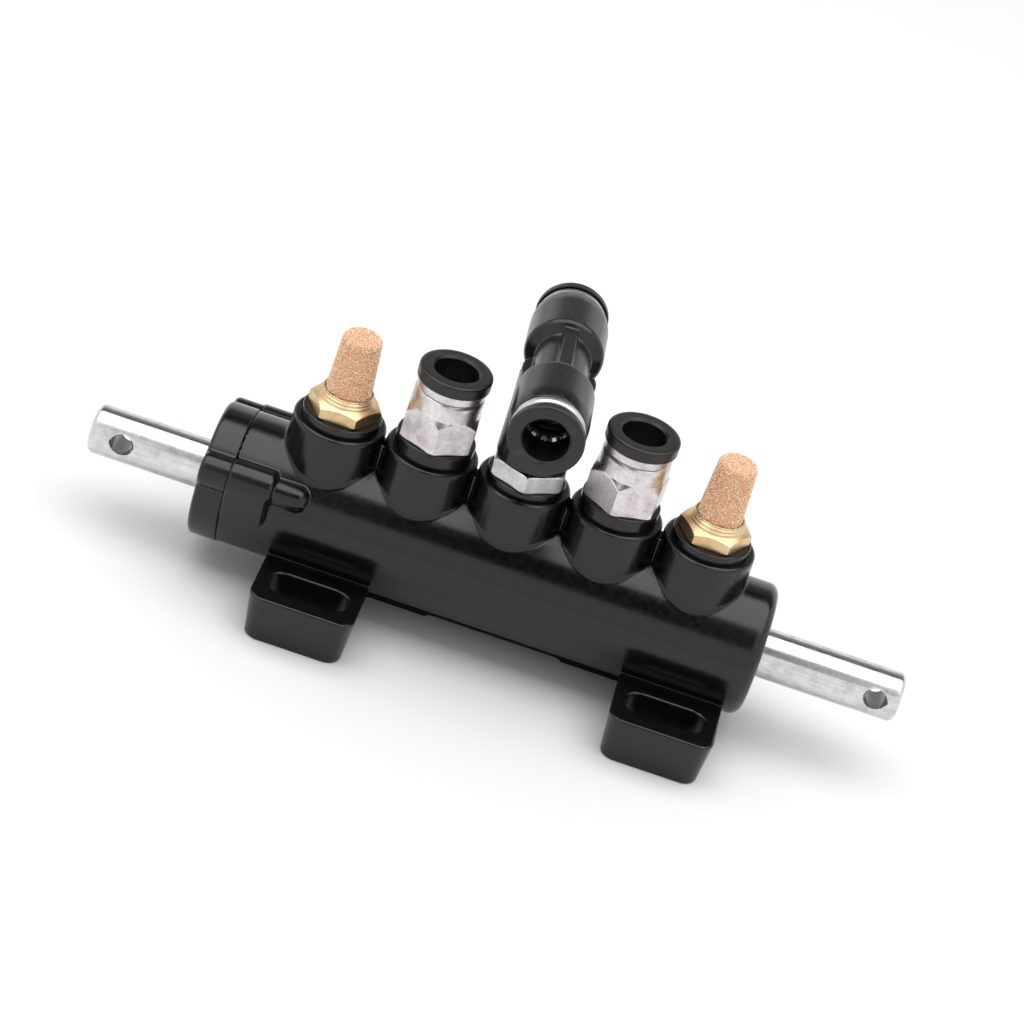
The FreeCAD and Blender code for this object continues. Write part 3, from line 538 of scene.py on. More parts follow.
zinc = plated_steel("zinc_plated_steel", (0.62, 0.63, 0.65), 0.22, 0.4, 500.0)
tree, identifiers, add, given = new_tree(
    "three_screws", ("Screw", "Object"), ("Side", "Float"), ("Rise", "Float"), ("Drop", "Float"),
    ("Finish", "Material"))
source = add("GeometryNodeObjectInfo", Object=given["Screw"])
far_side = arithmetic(add, "MULTIPLY", given["Side"], -1.0)
under = arithmetic(add, "MULTIPLY", given["Drop"], -1.0)
three = []
for offset in (add("ShaderNodeCombineXYZ", Y=given["Side"], Z=given["Rise"]),
               add("ShaderNodeCombineXYZ", Y=far_side, Z=given["Rise"]),
               add("ShaderNodeCombineXYZ", Z=under)):
    centre = add("ShaderNodeVectorMath", operation="ADD", i0=offset.outputs[0],
                 i1=(SCREW_SEAT * MM, AXIS_Y * MM, AXIS_Z * MM))
    move = add("GeometryNodeTransform", Geometry=source.outputs["Geometry"], Translation=centre.outputs[0],
               Rotation=(0, math.radians(90), 0))
    three.append(move.outputs[0])
close_tree(tree, add, given["Finish"], three)
screws = set_by_nodes("cap_screw_set", tree, identifiers, {
    "Screw": screw_blank, "Side": LUG_SIDE * MM, "Rise": LUG_RISE * MM, "Drop": SCREW_DROP * MM,
    "Finish": zinc})
bpy.data.objects.remove(screw_blank)
dress(screws, zinc, "zinc_steel", "valve", "cap_screws")

# Spool. Turned from bright drawn bar: two waists inside the valve, a chamfer and a cross hole for the
# pedal's pin at each end. The bar keeps fine marks along its length and dull spots from handling.

SPOOL_LEFT, SPOOL_RIGHT, SPOOL_RADIUS = MIDDLE_PORT_X - 80.4, MIDDLE_PORT_X + 79.5, 4.8
WAIST_RADIUS, WAIST_HALF, WAIST_STEP, WAIST_RUN, WAIST_REACH = 3.3, 4.6, 1.5, 0.9, 7.0
END_RADIUS, COS_45 = 4.1, 0.7071
LEFT_HOLE_IN, RIGHT_HOLE_IN, PIN_RADIUS, PIN_DEPTH = 6.5, 4.7, 2.05, 4.3
PIN_TILT = math.radians(11.5)


def pin_hole(x, y, z):
    """Distance from the nearer pin hole's axis, and the place along it."""
    across = -y * math.cos(PIN_TILT) + z * math.sin(PIN_TILT)
    beside = y * math.sin(PIN_TILT) + z * math.cos(PIN_TILT)
    off = np.minimum(np.abs(x - SPOOL_LEFT - LEFT_HOLE_IN), np.abs(x - SPOOL_RIGHT + RIGHT_HOLE_IN))
    return np.hypot(off, beside), np.abs(across)


def spool_field(p):
    """Distance field of the spool."""
    x, y, z = p[:, 0], p[:, 1] - AXIS_Y, p[:, 2] - AXIS_Z
    ring = np.hypot(y, z)
    from_waist = np.abs(np.abs(x - MIDDLE_PORT_X) - PORT_PITCH)
    waist = WAIST_RADIUS + (from_waist - WAIST_HALF) * WAIST_STEP / WAIST_RUN
    waist = ring - np.clip(waist, WAIST_RADIUS, SPOOL_RADIUS)
    bar = np.where(from_waist < WAIST_REACH, waist * 0.6, ring - SPOOL_RADIUS)
    end = np.maximum(SPOOL_LEFT - x, x - SPOOL_RIGHT)
    bar = trim(bar, end, 0.12)
    bar = trim(bar, (ring + end - END_RADIUS) * COS_45, 0.15)
    hole, depth = pin_hole(x, y, z)
    cut = np.minimum(hole - PIN_RADIUS, (hole - PIN_RADIUS - depth + PIN_DEPTH) * COS_45)
    return trim(bar, -cut, 0.12)


def drawn_bar(name):
    """Bright drawn bar: long marks along X, short marks round it, a few dull spots, and painted shade on the
    pin holes' walls.
    """
    material, shader, add, place = patterned(name, (0.66, 0.67, 0.68), 0.3, metallic=1.0)
    long = add("ShaderNodeMapping", Vector=place, Scale=(60, 2600, 2600))
    along = noise(add, long.outputs[0], 1.0, 4.0, 0.65)
    short = add("ShaderNodeMapping", Vector=place, Scale=(5200, 260, 260))
    around = noise(add, short.outputs[0], 1.0, 2.0)
    spots = noise(add, place, 420.0, 5.0, 0.7)
    colour = ramp(add, spots, (0.28, (0.52, 0.52, 0.53)), (0.5, (0.70, 0.71, 0.72)),
                  (0.75, (0.80, 0.81, 0.82)))
    marked = darkened(add, colour, ramp(add, along, (0.3, 0.82), (0.6, 1.0)))
    # Pin hole walls get painted shade: a near-black colour stands in for the shade inside the holes.
    drilled = add("ShaderNodeAttribute", attribute_name="drilled").outputs["Fac"]
    dark = ramp(add, spots, (0.3, 0.05), (0.7, 0.10))
    shaded_walls = add("ShaderNodeMix", data_type="RGBA", i0=drilled, i6=marked, i7=dark)
    gloss = ramp(add, spots, (0.3, 0.27), (0.7, 0.15))
    coat(shader, add, shaded_walls.outputs[2], gloss, arithmetic(add, "ADD", along, around), 0.16)
    return material


spool = moulded("spool_bar", spool_field, (SPOOL_LEFT, 13.4, 12.3), (SPOOL_RIGHT, 23.1, 21.9), 0.34, 0.6)
spots = np.array([v.co for v in spool.data.vertices]) / MM - (0, AXIS_Y, AXIS_Z)
hole, depth = pin_hole(*spots.T)
# Marks the points on the pin holes' walls, which the material darkens with painted shade.
drilled = spool.data.attributes.new("drilled", "FLOAT", "POINT")
hole_wall_shade_mask = (hole < PIN_RADIUS + 0.07) & (depth < PIN_DEPTH - 0.05)
drilled.data.foreach_set("value", hole_wall_shade_mask.astype(np.float32))
dress(spool, drawn_bar("drawn_bar"), "spool_metal", "spool", "spool")

# Spool seals and spacer cages. Rubber rings seated between moulded cages in the bore; hidden by the
# body, so the frame's own solids stay and take the rubber and the plain plastic.


def rubber(name):
    """Moulded rubber: dull black with a faint bloom."""
    material, shader, add, place = patterned(name, (0.012, 0.012, 0.012), 0.6)
    bloom = noise(add, place, 700.0, 4.0, 0.7)
    colour = ramp(add, bloom, (0.3, (0.006, 0.006, 0.006)), (0.75, (0.016, 0.016, 0.017)))
    coat(shader, add, colour, ramp(add, bloom, (0.3, 0.48), (0.7, 0.66)), bloom, 0.2)
    return material


def cage_nylon(name):
    """Natural moulded nylon: warm white with cloudy variation."""
    material, shader, add, place = patterned(name, (0.62, 0.58, 0.48), 0.42)
    cloud = noise(add, place, 260.0, 4.0, 0.6)
    colour = ramp(add, cloud, (0.3, (0.52, 0.48, 0.39)), (0.7, (0.68, 0.64, 0.54)))
    coat(shader, add, colour, ramp(add, cloud, (0.3, 0.36), (0.7, 0.5)), cloud, 0.1)
    return material


def refinish(node, material):
    """Gives a frame node that stays in view its material."""
    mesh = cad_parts[node].data
    mesh.materials.clear()
    mesh.materials.append(material)


seal_rubber = rubber("seal_rubber")
spacer_nylon = cage_nylon("spacer_nylon")
for number in range(1, 7):
    refinish("spool_seal_%d" % number, seal_rubber)
for number in range(1, 6):
    refinish("spacer_cage_%d" % number, spacer_nylon)

# Port seals. Black nylon rings squeezed between the boss rims and the hexagons above them.

RING_HEIGHTS = {1: 1.7, 2: 2.9, 3: 1.4, 4: 2.9, 5: 1.7}
RING_RADIUS = 7.5
ring_nylon = moulded_plastic("ring_nylon", (0.002, 0.002, 0.002), (0.004, 0.004, 0.004), 0.16, 0.3)
for number, height in RING_HEIGHTS.items():
    section = [(TAP_RADIUS, 0, 0.1), (RING_RADIUS, 0, 0.1), (RING_RADIUS, height, 0.35),
               (TAP_RADIUS, height, 0.1)]
    ring = turned("port_ring_%d" % number, section, (PORT_X[number - 1], AXIS_Y, BOSS_TOP))
    dress(ring, ring_nylon, "ring_nylon", "valve", "port_seal_%d" % number)

# Silencers. A brass base with a hexagon and a crimped rim, screwed into an exhaust port, and a cone of
# sintered bronze balls held in the rim. A node tree scatters the balls over the cone.


THREAD_RADIUS, THREAD_PITCH, THREAD_DEPTH, SHANK_LOW = 4.8, 0.907, 0.5, -7.0
WATERWAY = 2.6
SILENCER_FLATS, SILENCER_LOW, SILENCER_HIGH = 12.0, 1.7, 4.6
CRIMP_RADIUS, CRIMP_LOW, CRIMP_FOOT, CRIMP_RUN, CRIMP_TOP = 5.6, 3.8, 4.2, 2.2, 6.4
CRIMP_LEAN, RIDGE, RIDGE_PITCH = 0.42, 0.09, 0.62
CONE_LOW, CONE_TALL, CONE_INSIDE, CUP_RADIUS = 4.8, 13.2, 11.9, 4.5
BALL_RADIUS, BALL_SPACING, BALL_DENSITY = 0.00018, 0.00025, 2.0e7


def hexagon(u, v, z, flats, low, high, turn_deg, cut, slope_deg):
    """Field of a hexagon, its upper corners cut by a cone; turn_deg is a corner's place from -Y to +X."""
    rise, run_out = math.sin(math.radians(slope_deg)), math.cos(math.radians(slope_deg))
    corner = flats / math.sqrt(3)
    prism = -flats
    for k in range(3):
        angle = math.radians(turn_deg + 30 + 60 * k)
        prism = np.maximum(prism, np.abs(u * math.sin(angle) - v * math.cos(angle)) - flats / 2)
    ring = np.hypot(u, v)
    top_cone = (z - high) * rise + (ring - corner + cut) * run_out
    low_cone = (low - z) * COS_30 + (ring - corner + 0.5) * SIN_30
    return trim(trim(prism, np.maximum(z - high, low - z), 0.14), np.maximum(top_cone, low_cone), 0.12)


def thread(u, v, z, high):
    """Field of a threaded shank: a true helix, cut in from the shank's radius."""
    turn = np.arctan2(v, u) / (2 * math.pi)
    place = z / THREAD_PITCH - turn
    tooth = np.abs(place - np.round(place)) * 2
    ring = np.hypot(u, v)
    flank = (ring - THREAD_RADIUS + THREAD_DEPTH * np.clip((1 - tooth) * 1.15, 0, 1)) * 0.62
    return trim(flank, np.maximum(z - high, SHANK_LOW - z), 0.2)


def on_port(name, field, x, reach, top, cell, share, *more):
    """Moulded piece on a port; its field counts from the port's axis and the top of the boss."""

    def placed(p):
        return field(p[:, 0] - x, p[:, 1] - AXIS_Y, p[:, 2] - BOSS_TOP, *more)

    low, high = (x - reach, AXIS_Y - reach, BOSS_TOP + SHANK_LOW), (x + reach, AXIS_Y + reach, BOSS_TOP + top)
    return moulded(name, placed, low, high, cell, share)


def silencer_field(u, v, z):
    """Field of a silencer's brass base."""
    ring = np.hypot(u, v)
    nut = hexagon(u, v, z, SILENCER_FLATS, SILENCER_LOW, SILENCER_HIGH, 30.0, 1.5, 60.0)
    rise = np.clip(z - CRIMP_FOOT, 0, CRIMP_RUN)
    ridges = RIDGE * np.cos(rise * 2 * math.pi / RIDGE_PITCH)
    crimp = (ring - CRIMP_RADIUS + CRIMP_LEAN * rise + ridges) * 0.86
    crimp = np.maximum(trim(crimp, z - CRIMP_TOP, 0.25), CRIMP_LOW - z)
    solid = join(np.minimum(nut, thread(u, v, z, 2.2)), crimp, 0.15)
    hole = np.minimum(ring - WATERWAY, np.maximum(ring - CUP_RADIUS, CONE_LOW - z))
    return trim(solid, -hole, 0.12)


def bright_brass(name):
    """Turned brass: pale gold with fine turning rings and a few tarnished patches."""
    material, shader, add, place = patterned(name, (0.80, 0.62, 0.33), 0.22, metallic=1.0)
    patch = noise(add, place, 320.0, 5.0, 0.65)
    flat = add("ShaderNodeMapping", Vector=place, Scale=(300, 300, 7000))
    rings = noise(add, flat.outputs[0], 1.0, 3.0)
    colour = ramp(add, patch, (0.28, (0.58, 0.39, 0.19)), (0.5, (0.73, 0.53, 0.30)),
                  (0.75, (0.80, 0.62, 0.40)))
    coat(shader, add, colour, ramp(add, patch, (0.3, 0.42), (0.7, 0.26)), rings, 0.14)
    return material


def sintered_bronze(name):
    """Sintered bronze: every ball has its own tone, dull, with small bright spots."""
    material, shader, add, place = patterned(name, (0.95, 0.66, 0.45), 0.55, metallic=0.6)
    tone = add("ShaderNodeAttribute", attribute_name="ball_tone").outputs["Fac"]
    fleck = noise(add, place, 3200.0, 2.0)
    colour = ramp(add, tone, (0.0, (0.84, 0.50, 0.30)), (0.3, (1.0, 0.70, 0.48)), (0.7, (1.0, 0.78, 0.58)),
                  (1.0, (1.0, 0.86, 0.70)))
    colour = darkened(add, colour, ramp(add, fleck, (0.3, 0.8), (0.65, 1.0)))
    coat(shader, add, colour, ramp(add, tone, (0.0, 0.75), (1.0, 0.58)), fleck, 0.25)
    return material


tree, identifiers, add, given = new_tree(
    "sintered_balls", ("Cone", "Object"), ("Foot", "Vector"), ("Ball Radius", "Float"),
    ("Spacing", "Float"), ("Density", "Float"), ("Seed", "Int"), ("Finish", "Material"))
core = add("GeometryNodeObjectInfo", Object=given["Cone"]).outputs["Geometry"]
place = add("GeometryNodeInputPosition").outputs[0]
facing = add("GeometryNodeInputNormal").outputs[0]
from_foot = add("ShaderNodeVectorMath", operation="SUBTRACT", i0=place, i1=given["Foot"]).outputs[0]
outward = add("ShaderNodeVectorMath", operation="DOT_PRODUCT", i0=from_foot, i1=facing).outputs["Value"]
outside = add("FunctionNodeCompare", A=outward, B=0.0005).outputs[0]
scatter = add("GeometryNodeDistributePointsOnFaces", distribute_method="POISSON", Mesh=core,
              Selection=outside, Distance_Min=given["Spacing"], Density_Max=given["Density"],
              Seed=given["Seed"]).outputs["Points"]
ball = add("GeometryNodeMeshIcoSphere", Subdivisions=1, Radius=given["Ball Radius"]).outputs["Mesh"]
spread = add("FunctionNodeRandomValue", i2=0.8, i3=1.15, Seed=given["Seed"]).outputs[1]
tumble = add("FunctionNodeRandomValue", data_type="FLOAT_VECTOR", i1=(6.28, 6.28, 6.28),
             Seed=given["Seed"]).outputs[0]
tone = add("FunctionNodeRandomValue", Seed=given["Seed"]).outputs[1]
balls = add("GeometryNodeInstanceOnPoints", Points=scatter, Instance=ball, Rotation=tumble,
            Scale=spread).outputs[0]
toned = add("GeometryNodeStoreNamedAttribute", domain="INSTANCE", Name="ball_tone", Geometry=balls,
            Value=tone).outputs[0]
close_tree(tree, add, given["Finish"], (core, toned), smooth=True)

brass = bright_brass("turned_brass")
bronze = sintered_bronze("sintered_bronze")
tip, ceiling = CONE_LOW + CONE_TALL, CONE_LOW + CONE_INSIDE
cone_section = [(2.9, CONE_LOW, 0.1), (4.3, CONE_LOW, 0.1), (3.57, tip, 1.1), (0.02, tip, 0),
                (0.02, ceiling, 0), (2.3, ceiling, 0.3)]
for side, x, seed in (("left", PORT_X[0], 7), ("right", PORT_X[4], 19)):
    base = on_port("silencer_base_brass_" + side, silencer_field, x, 7.6, CRIMP_TOP, 0.19, 0.8)
    dress(base, brass, "brass", "valve", "silencer_base_" + side)
    cone = turned("cone_" + side, cone_section, (x, AXIS_Y, BOSS_TOP), steps=72)
    balls = set_by_nodes("silencer_bronze_" + side, tree, identifiers, {
        "Cone": cone, "Foot": (x * MM, AXIS_Y * MM, (BOSS_TOP + CONE_LOW) * MM), "Ball Radius": BALL_RADIUS,
        "Spacing": BALL_SPACING, "Density": BALL_DENSITY, "Seed": seed, "Finish": bronze})
    bpy.data.objects.remove(cone)
    dress(balls, bronze, "sintered_bronze", "valve", "silencer_element_" + side)

# Straight fittings. Nickel-plated brass: a threaded shank, a hexagon and a round neck bored as a
# stepped socket for the push-in cartridge.


FITTING_FLATS, FITTING_LOW, FITTING_HIGH = 13.4, 2.9, 9.9
FITTING_TOP, NECK_RADIUS = 13.6, 6.6
SOCKET_RADIUS, TUBE_RADIUS = 5.95, 4.05
SOCKET_FLOOR, TUBE_FLOOR = 6.1, 4.1


def fitting_field(u, v, z, turn_deg):
    """Field of a straight fitting's body."""
    ring = np.hypot(u, v)
    nut = hexagon(u, v, z, FITTING_FLATS, FITTING_LOW, FITTING_HIGH, turn_deg, 1.15, 37.0)
    neck = np.maximum(trim(ring - NECK_RADIUS, z - FITTING_TOP, 1.2), FITTING_HIGH - 1.0 - z)
    solid = np.minimum(np.minimum(nut, neck), thread(u, v, z, 3.4))
    bore = np.minimum(np.maximum(ring - SOCKET_RADIUS, SOCKET_FLOOR - z),
                      np.maximum(ring - TUBE_RADIUS, TUBE_FLOOR - z))
    return trim(solid, -np.minimum(bore, ring - WATERWAY), 0.15)


def nickel_plate(name, dull, plain, bright):
    """Nickel plate: silver, with cloudy patches and fine wear."""
    material, shader, add, place = patterned(name, plain, 0.26, metallic=1.0)
    cloud = noise(add, place, 210.0, 6.0, 0.7)
    speck = noise(add, place, 1800.0, 3.0, 0.7)
    colour = ramp(add, cloud, (0.30, dull), (0.48, plain), (0.70, bright))
    colour = darkened(add, colour, ramp(add, speck, (0.3, 0.82), (0.6, 1.0)))
    coat(shader, add, colour, ramp(add, cloud, (0.3, 0.38), (0.7, 0.2)), speck, 0.18)
    return material


nickel = nickel_plate("nickel_plate", (0.50, 0.44, 0.44), (0.72, 0.67, 0.665), (0.84, 0.82, 0.81))
for side, x, turn_deg in (("left", PORT_X[1], 3.0), ("right", PORT_X[3], -8.2)):
    fitting = on_port("fitting_nickel_" + side, fitting_field, x, 7.8, FITTING_TOP, 0.22, 0.7, turn_deg)
    dress(fitting, nickel, "nickel_plate", "valve", "fitting_body_" + side)

# Swivel tee. Its plated stem is screwed into the middle port; the moulded nylon tee snaps over the
# stem's post and turns on it. Two barrels lie along the run, joined by a ribbed neck.

TEE_X, TEE_TURN = PORT_X[2], math.radians(4.1)
RUN_Z, RUN_END = 59.6, 19.7
STEM_LOW, STEM_HIGH, POST_RADIUS, POST_TOP = 1.4, 5.1, 4.0, 16.1
BEAD_RADIUS, BEAD_RISE, SNAP_RADIUS, SNAP_RISE = 4.2, 10.5, 2.8, 14.45
UPRIGHT_RADIUS, UPRIGHT_LOW = 6.95, -17.9
NEAR_RADIUS, NEAR_BACK, FAR_RADIUS, FAR_FRONT, RUN_NECK = 7.2, -6.5, 7.4, 6.0, 5.1
NOSE_START, NOSE_CURVE = 16.2, 29.0
NECK_NEAR, NECK_FAR, FLARE_START, FLARE_RISE, FLARE_RUN = 7.5, 7.2, 6.2, 2.3, 1.3
RIB_HALF, RIB_TOP, RIB_NEAR, RIB_FAR = 1.3, 6.3, 8.1, 7.0
SHELF_HALF, SHELF_BACK, SHELF_Z, SHELF_THICK = 6.83, 10.7, -8.5, 2.0
RUN_SOCKET_FLOOR, RUN_TUBE_FLOOR = 12.2, 10.2
POST_ROOM_TOP, SNAP_ROOM, SNAP_Z = -6.5, 4.3, -12.6


def stem_field(u, v, z):
    """Field of the tee's plated stem."""
    ring = np.hypot(u, v)
    nut = hexagon(u, v, z, FITTING_FLATS, STEM_LOW, STEM_HIGH, 3.8, 0.5, 60.0)
    post = np.maximum(trim(ring - POST_RADIUS, z - POST_TOP, 0.3), STEM_HIGH - 1.0 - z)
    bead = trim(ring - BEAD_RADIUS, np.abs(z - BEAD_RISE) - 0.4, 0.1)
    groove = np.maximum(SNAP_RADIUS - ring, np.abs(z - SNAP_RISE) - 0.85)
    post = trim(np.minimum(post, bead), -groove, 0.05)
    return trim(np.minimum(np.minimum(nut, thread(u, v, z, 1.9)), post), 2.0 - ring, 0.15)


def tee_place(p):
    """Part coordinates in the tee's own frame, its run along Y."""
    x, y = p[:, 0] - TEE_X, p[:, 1] - AXIS_Y
    c, s = math.cos(TEE_TURN), math.sin(TEE_TURN)
    return x * c + y * s, y * c - x * s, p[:, 2] - RUN_Z


def tee_field(p):
    """Field of the moulded tee."""
    x, y, z = tee_place(p)
    upright_ring, run_ring, reach = np.hypot(x, y), np.hypot(x, z), np.abs(y)
    nose = np.maximum(reach - NOSE_START, 0) ** 2 / NOSE_CURVE
    upright = np.maximum(trim(upright_ring - UPRIGHT_RADIUS, UPRIGHT_LOW - z, 0.4), z)
    near = trim(trim(run_ring - NEAR_RADIUS + nose, y - NEAR_BACK, 1.6), -y - RUN_END, 0.3)
    cone = (run_ring - RUN_NECK - (y - FLARE_START) * FLARE_RISE / FLARE_RUN) * 0.492
    far = trim(trim(run_ring - FAR_RADIUS + nose, cone, 0.6), y - RUN_END, 0.3)
    far = trim(far, FAR_FRONT - y, 0.1)
    neck = np.maximum(run_ring - RUN_NECK, np.maximum(-NECK_NEAR - y, y - NECK_FAR))
    rib = trim(np.abs(x) - RIB_HALF, z - RIB_TOP, 0.35)
    rib = np.maximum(trim(rib, np.maximum(-RIB_NEAR - y, y - RIB_FAR), 0.3), -z)
    shelf_side = np.abs(x) - SHELF_HALF + np.clip(y, 0, SHELF_BACK) * 0.15 / SHELF_BACK
    shelf = rounded_corner(shelf_side, y - SHELF_BACK, 0.5)
    shelf = trim(np.maximum(shelf, -y), np.abs(z - SHELF_Z) - SHELF_THICK, 0.3)
    solid = join(join(upright, near, 0.5), join(neck, far, 0.4), 0.5)
    solid = join(np.minimum(solid, shelf), rib, 0.35)
    socket = np.maximum(run_ring - SOCKET_RADIUS, RUN_SOCKET_FLOOR - reach)
    cut = np.minimum(socket, np.maximum(run_ring - TUBE_RADIUS, RUN_TUBE_FLOOR - reach))
    cut = np.minimum(cut, run_ring - WATERWAY)
    snap = np.maximum(upright_ring - SNAP_ROOM, np.abs(z - SNAP_Z) - 0.5)
    post = np.minimum(np.maximum(upright_ring - TUBE_RADIUS, z - POST_ROOM_TOP), snap)
    post = np.minimum(post, np.maximum(upright_ring - WATERWAY, z))
    return trim(solid, -np.minimum(cut, post), 0.15)


stem = on_port("tee_stem_nickel", stem_field, TEE_X, 7.8, POST_TOP, 0.22, 0.7)
stem_nickel = nickel_plate("stem_nickel", (0.46, 0.46, 0.465), (0.63, 0.63, 0.635), (0.78, 0.78, 0.78))
dress(stem, stem_nickel, "nickel_plate", "valve", "tee_stem")
refinish("tee_stem_seal", seal_rubber)
tee_plastic = moulded_plastic("tee_nylon", (0.005, 0.005, 0.005), (0.008, 0.008, 0.0085), 0.20, 0.32, 1.4)
tee = moulded("tee_moulding", tee_field, (TEE_X - 9.5, -2.2, 41.0), (TEE_X + 9.5, 38.7, 67.5), 0.34, 0.5)
dress(tee, tee_plastic, "tee_plastic", "tee", "tee_body")

# Push-in cartridges, the same in all four sockets: a bright pressed sleeve, a moulded release collar
# that slides on it, a toothed spring ring that grips the tube and a rubber seal below.


TEETH, RIM_RADIUS, LEAF_REACH, LEAF_DROP, LEAF_THICK = 16, 5.5, 1.2, 0.9, 0.25
GRAB_DEPTH = 4.5


def bright_steel(name, colour, low, high):
    """Pressed bright steel: fine drawing marks and light smears."""
    material, shader, add, place = patterned(name, colour, high, metallic=1.0)
    smear = noise(add, place, 600.0, 4.0, 0.6)
    tone = ramp(add, smear, (0.3, tuple(0.72 * c for c in colour)), (0.6, colour))
    coat(shader, add, tone, ramp(add, smear, (0.3, high), (0.7, low)), smear, 0.1, 0.00002)
    return material


tree, identifiers, add, given = new_tree(
    "grab_ring_teeth", ("Rim", "Object"), ("Tooth", "Object"), ("Teeth", "Int"), ("Finish", "Material"))
rim = add("GeometryNodeObjectInfo", Object=given["Rim"]).outputs["Geometry"]
tooth = add("GeometryNodeObjectInfo", Object=given["Tooth"], As_Instance=True).outputs["Geometry"]
spots = add("GeometryNodeMeshLine", Count=given["Teeth"], Offset=(0, 0, 0)).outputs["Mesh"]
index = add("GeometryNodeInputIndex").outputs[0]
share = arithmetic(add, "DIVIDE", index, given["Teeth"])
angle = arithmetic(add, "MULTIPLY", share, 2 * math.pi)
spin = add("ShaderNodeCombineXYZ", Z=angle).outputs[0]
teeth = add("GeometryNodeInstanceOnPoints", Points=spots, Instance=tooth, Rotation=spin).outputs[0]
close_tree(tree, add, given["Finish"], (rim, teeth))


def ring_tooth(name):
    """One tooth of the spring ring: a tapered leaf, bent down from the rim, with thin rounded edges."""
    points, faces = [], []
    across, along = 3, 4
    half_wide, half_narrow = math.radians(9.8), math.radians(9.2)
    for side in (0, 1):
        for i in range(along + 1):
            share = i / along
            radius, height = RIM_RADIUS - LEAF_REACH * share, -LEAF_DROP * share - LEAF_THICK * side
            half = half_wide + (half_narrow - half_wide) * share
            for k in range(across + 1):
                angle = half * (2 * k / across - 1)
                points.append((radius * math.cos(angle), radius * math.sin(angle), height))
    row = across + 1
    layer = row * (along + 1)
    for i in range(along):
        for k in range(across):
            a = i * row + k
            faces.append((a, a + row, a + row + 1, a + 1))
            faces.append((a + layer, a + layer + 1, a + layer + row + 1, a + layer + row))
    rim_loop = list(range(row)) + [i * row + across for i in range(1, along + 1)]
    rim_loop += [along * row + k for k in range(across - 1, -1, -1)]
    rim_loop += [i * row for i in range(along - 1, 0, -1)]
    for i, a in enumerate(rim_loop):
        b = rim_loop[(i + 1) % len(rim_loop)]
        faces.append((a, b, b + layer, a + layer))
    return mesh_object(name, points, faces)


def stand(piece, base, direction):
    """Turns and moves a piece's mesh so that its own Z runs along direction from base."""
    u, v, w = frame_of(direction)
    points = np.empty(len(piece.data.vertices) * 3)
    piece.data.vertices.foreach_get("co", points)
    points = points.reshape(-1, 3) @ np.array([u, v, w]) + np.array(base) * MM
    piece.data.vertices.foreach_set("co", points.ravel())
    piece.data.update()


sleeve_steel = bright_steel("sleeve_steel", (0.70, 0.65, 0.665), 0.24, 0.36)
spring_steel = bright_steel("spring_steel", (0.93, 0.93, 0.93), 0.14, 0.26)
collar_plastic = moulded_plastic("collar_nylon", (0.006, 0.006, 0.006), (0.009, 0.009, 0.009),
                                 0.28, 0.42, 2.2)
run = (-math.sin(TEE_TURN), math.cos(TEE_TURN), 0.0)
fitting_mouth = BOSS_TOP + FITTING_TOP
sockets = {"fitting_left": ((PORT_X[1], AXIS_Y, fitting_mouth), (0, 0, 1), "valve", "collar_left"),
           "fitting_right": ((PORT_X[3], AXIS_Y, fitting_mouth), (0, 0, 1), "valve", "collar_right")}
for side, way in (("near", -1), ("far", 1)):
    mouth = (TEE_X + way * RUN_END * run[0], AXIS_Y + way * RUN_END * run[1], RUN_Z)
    sockets["tee_" + side] = (mouth, (way * run[0], way * run[1], 0), "tee", "collar_tee_" + side)
for name, (mouth, outward, holder, slider) in sockets.items():
    lip, skirt = (6.75, 2.4) if holder == "tee" else (6.5, 1.7)
    shoulder = [(lip, 0.9, 0.2), (6.5, 1.35, 0.2)] if holder == "tee" else []
    sleeve_section = [(5.05, -2.2, 0.05), (5.93, -2.2, 0.05), (5.93, 0, 0.04), (lip, 0, 0.1), *shoulder,
                      (6.5, 2.25, 0.25), (5.05, 2.25, 0.15)]
    sleeve = turned(name + "_sleeve_ring", sleeve_section, mouth, outward)
    dress(sleeve, sleeve_steel, "bright_sleeve", holder, name + "_sleeve")
    hook = [(4.2, -3.3, 0.08), (4.5, -3.3, 0.08), (5.3, -2.9, 0.08), (5.3, -2.4, 0.08), (4.95, -2.4, 0.04)]
    head = [(4.95, 3.4, 0.1), (6.6, 3.4, 0.1), (6.6, skirt, 0.1), (6.93, skirt, 0.1), (6.93, 3.92, 0.5),
            (6.3, 4.1, 1.5), (4.65, 4.1, 0.15), (4.2, 3.65, 0.15)]
    collar = turned(name + "_collar", hook + head, mouth, outward)
    dress(collar, collar_plastic, "collar_plastic", slider, name + "_release_collar")
    rim = turned("rim", [(5.33, -0.3, 0.04), (5.93, -0.3, 0.04), (5.93, 0, 0.04), (5.33, 0, 0.04)], steps=72)
    tooth = ring_tooth("tooth")
    values = {"Rim": rim, "Tooth": tooth, "Teeth": TEETH, "Finish": spring_steel}
    ring = set_by_nodes(name + "_spring_ring", tree, identifiers, values)
    bpy.data.objects.remove(rim)
    bpy.data.objects.remove(tooth)
    stand(ring, np.array(mouth) - GRAB_DEPTH * np.array(outward), outward)
    dress(ring, spring_steel, "spring_steel", holder, name + "_grab_ring")
    refinish(name + "_tube_seal", seal_rubber)

# Studio. A plain pale floor, an even white surround, a wide soft lamp overhead, and two black cards and a
# grey one that only show as bands in the gloss. The camera stands where the photograph was taken.

SKY_CENTRE = 0.03


def plain_sheet(name, corners, material_name, colour, roughness):
    """Flat sheet for the studio, in metres, with no gloss of its own; gives the piece and its shader."""
    piece = mesh_object(name, np.array(corners, float) / MM, [(0, 1, 2, 3)])
    material, shader = new_material(material_name, colour, roughness)
    shader.inputs["Specular IOR Level"].default_value = 0.0
    piece.data.materials.append(material)
    return piece, shader


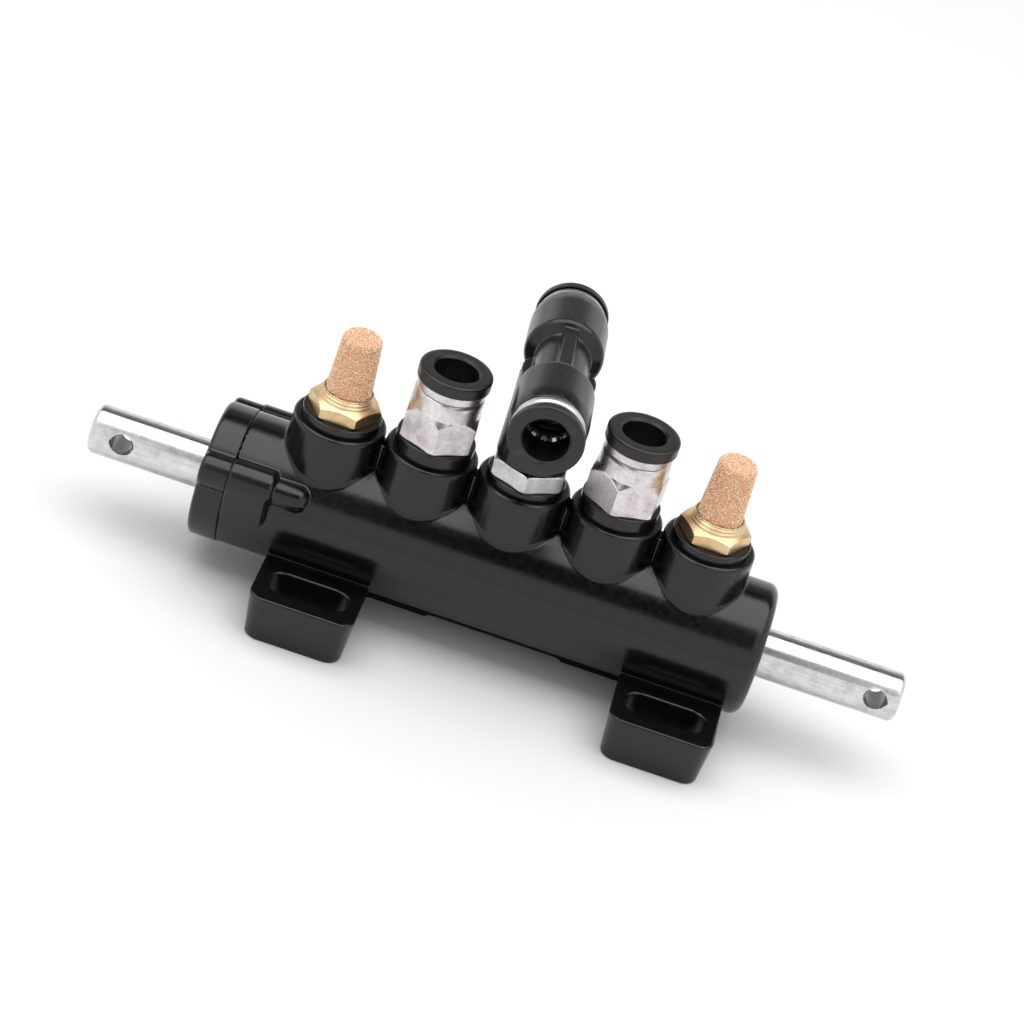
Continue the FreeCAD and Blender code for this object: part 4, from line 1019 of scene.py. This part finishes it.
def card(name, elevation_deg, reach, width, half_angle_deg, glow=0.0):
    """Card facing the object that only reflections see: black, or grey by its own even glow.

    It stands over the object at an elevation: 0 in front, 90 overhead, 180 behind.
    """
    turn = math.radians(elevation_deg)
    centre = np.array([0.0, AXIS_Y * MM - reach * math.cos(turn), SKY_CENTRE + reach * math.sin(turn)])
    facing = np.array([0.0, AXIS_Y * MM, SKY_CENTRE]) - centre
    u = np.array([1.0, 0, 0]) * width / 2
    half_height = reach * math.tan(math.radians(half_angle_deg))
    v = np.cross(facing, [1.0, 0, 0]) / np.linalg.norm(facing) * half_height
    corners = [centre - u - v, centre + u - v, centre + u + v, centre - u + v]
    piece, shader = plain_sheet(name, corners, name, (0, 0, 0), 1.0)
    shader.inputs["Emission Color"].default_value = (1, 1, 1, 1)
    shader.inputs["Emission Strength"].default_value = glow
    piece.visible_camera = piece.visible_diffuse = piece.visible_shadow = False


FLOOR_REACH = 3.0
around = [(-FLOOR_REACH, -FLOOR_REACH, 0), (FLOOR_REACH, -FLOOR_REACH, 0), (FLOOR_REACH, FLOOR_REACH, 0),
          (-FLOOR_REACH, FLOOR_REACH, 0)]
floor, _ = plain_sheet("floor", around, "pale_floor", (0.93, 0.93, 0.93), 0.9)
card("front_card", 45.5, 0.72, 0.28, 17.5)
card("back_card", 129.5, 0.8, 1.6, 7.5)
card("grey_card", 147.0, 0.8, 1.6, 10.0, 0.28)

lamp = bpy.data.lights.new("overhead", "AREA")
lamp.shape = "RECTANGLE"
lamp.size, lamp.size_y = 1.5, 0.82
lamp.energy = 1.7 * math.pi * lamp.size * lamp.size_y
overhead = bpy.data.objects.new("overhead", lamp)
overhead.location = (0.0, 0.05, 0.82)
overhead.visible_camera = False
bpy.context.scene.collection.objects.link(overhead)

world = bpy.data.worlds.new("studio")
bpy.context.scene.world = world
world.use_nodes = True
add = node_maker(world.node_tree)
rays = add("ShaderNodeLightPath").outputs
seen = arithmetic(add, "MAXIMUM", rays["Is Camera Ray"], rays["Is Glossy Ray"])
through = arithmetic(add, "MAXIMUM", seen, rays["Is Transmission Ray"])
level = add("ShaderNodeMapRange", To_Min=0.58, To_Max=1.0, Value=through)
background = world.node_tree.nodes["Background"]
background.inputs["Color"].default_value = (1, 1, 1, 1)
world.node_tree.links.new(level.outputs["Result"], background.inputs["Strength"])

camera_data = bpy.data.cameras.new("camera")
camera_data.lens = 104.16
camera_data.sensor_width = 36.0
camera_data.clip_start, camera_data.clip_end = 0.01, 20
camera = bpy.data.objects.new("camera", camera_data)
bpy.context.scene.collection.objects.link(camera)
right, up = (0.947478, 0.183213, 0.262140), (-0.319411, 0.500662, 0.804558)
backward, place = (0.016163, -0.846032, 0.532887), (0.00498, -0.44857, 0.32285)
camera.matrix_world = Matrix([*zip(right, up, backward, place), (0, 0, 0, 1)])
bpy.context.scene.camera = camera
bpy.context.scene.view_settings.view_transform = "Standard"
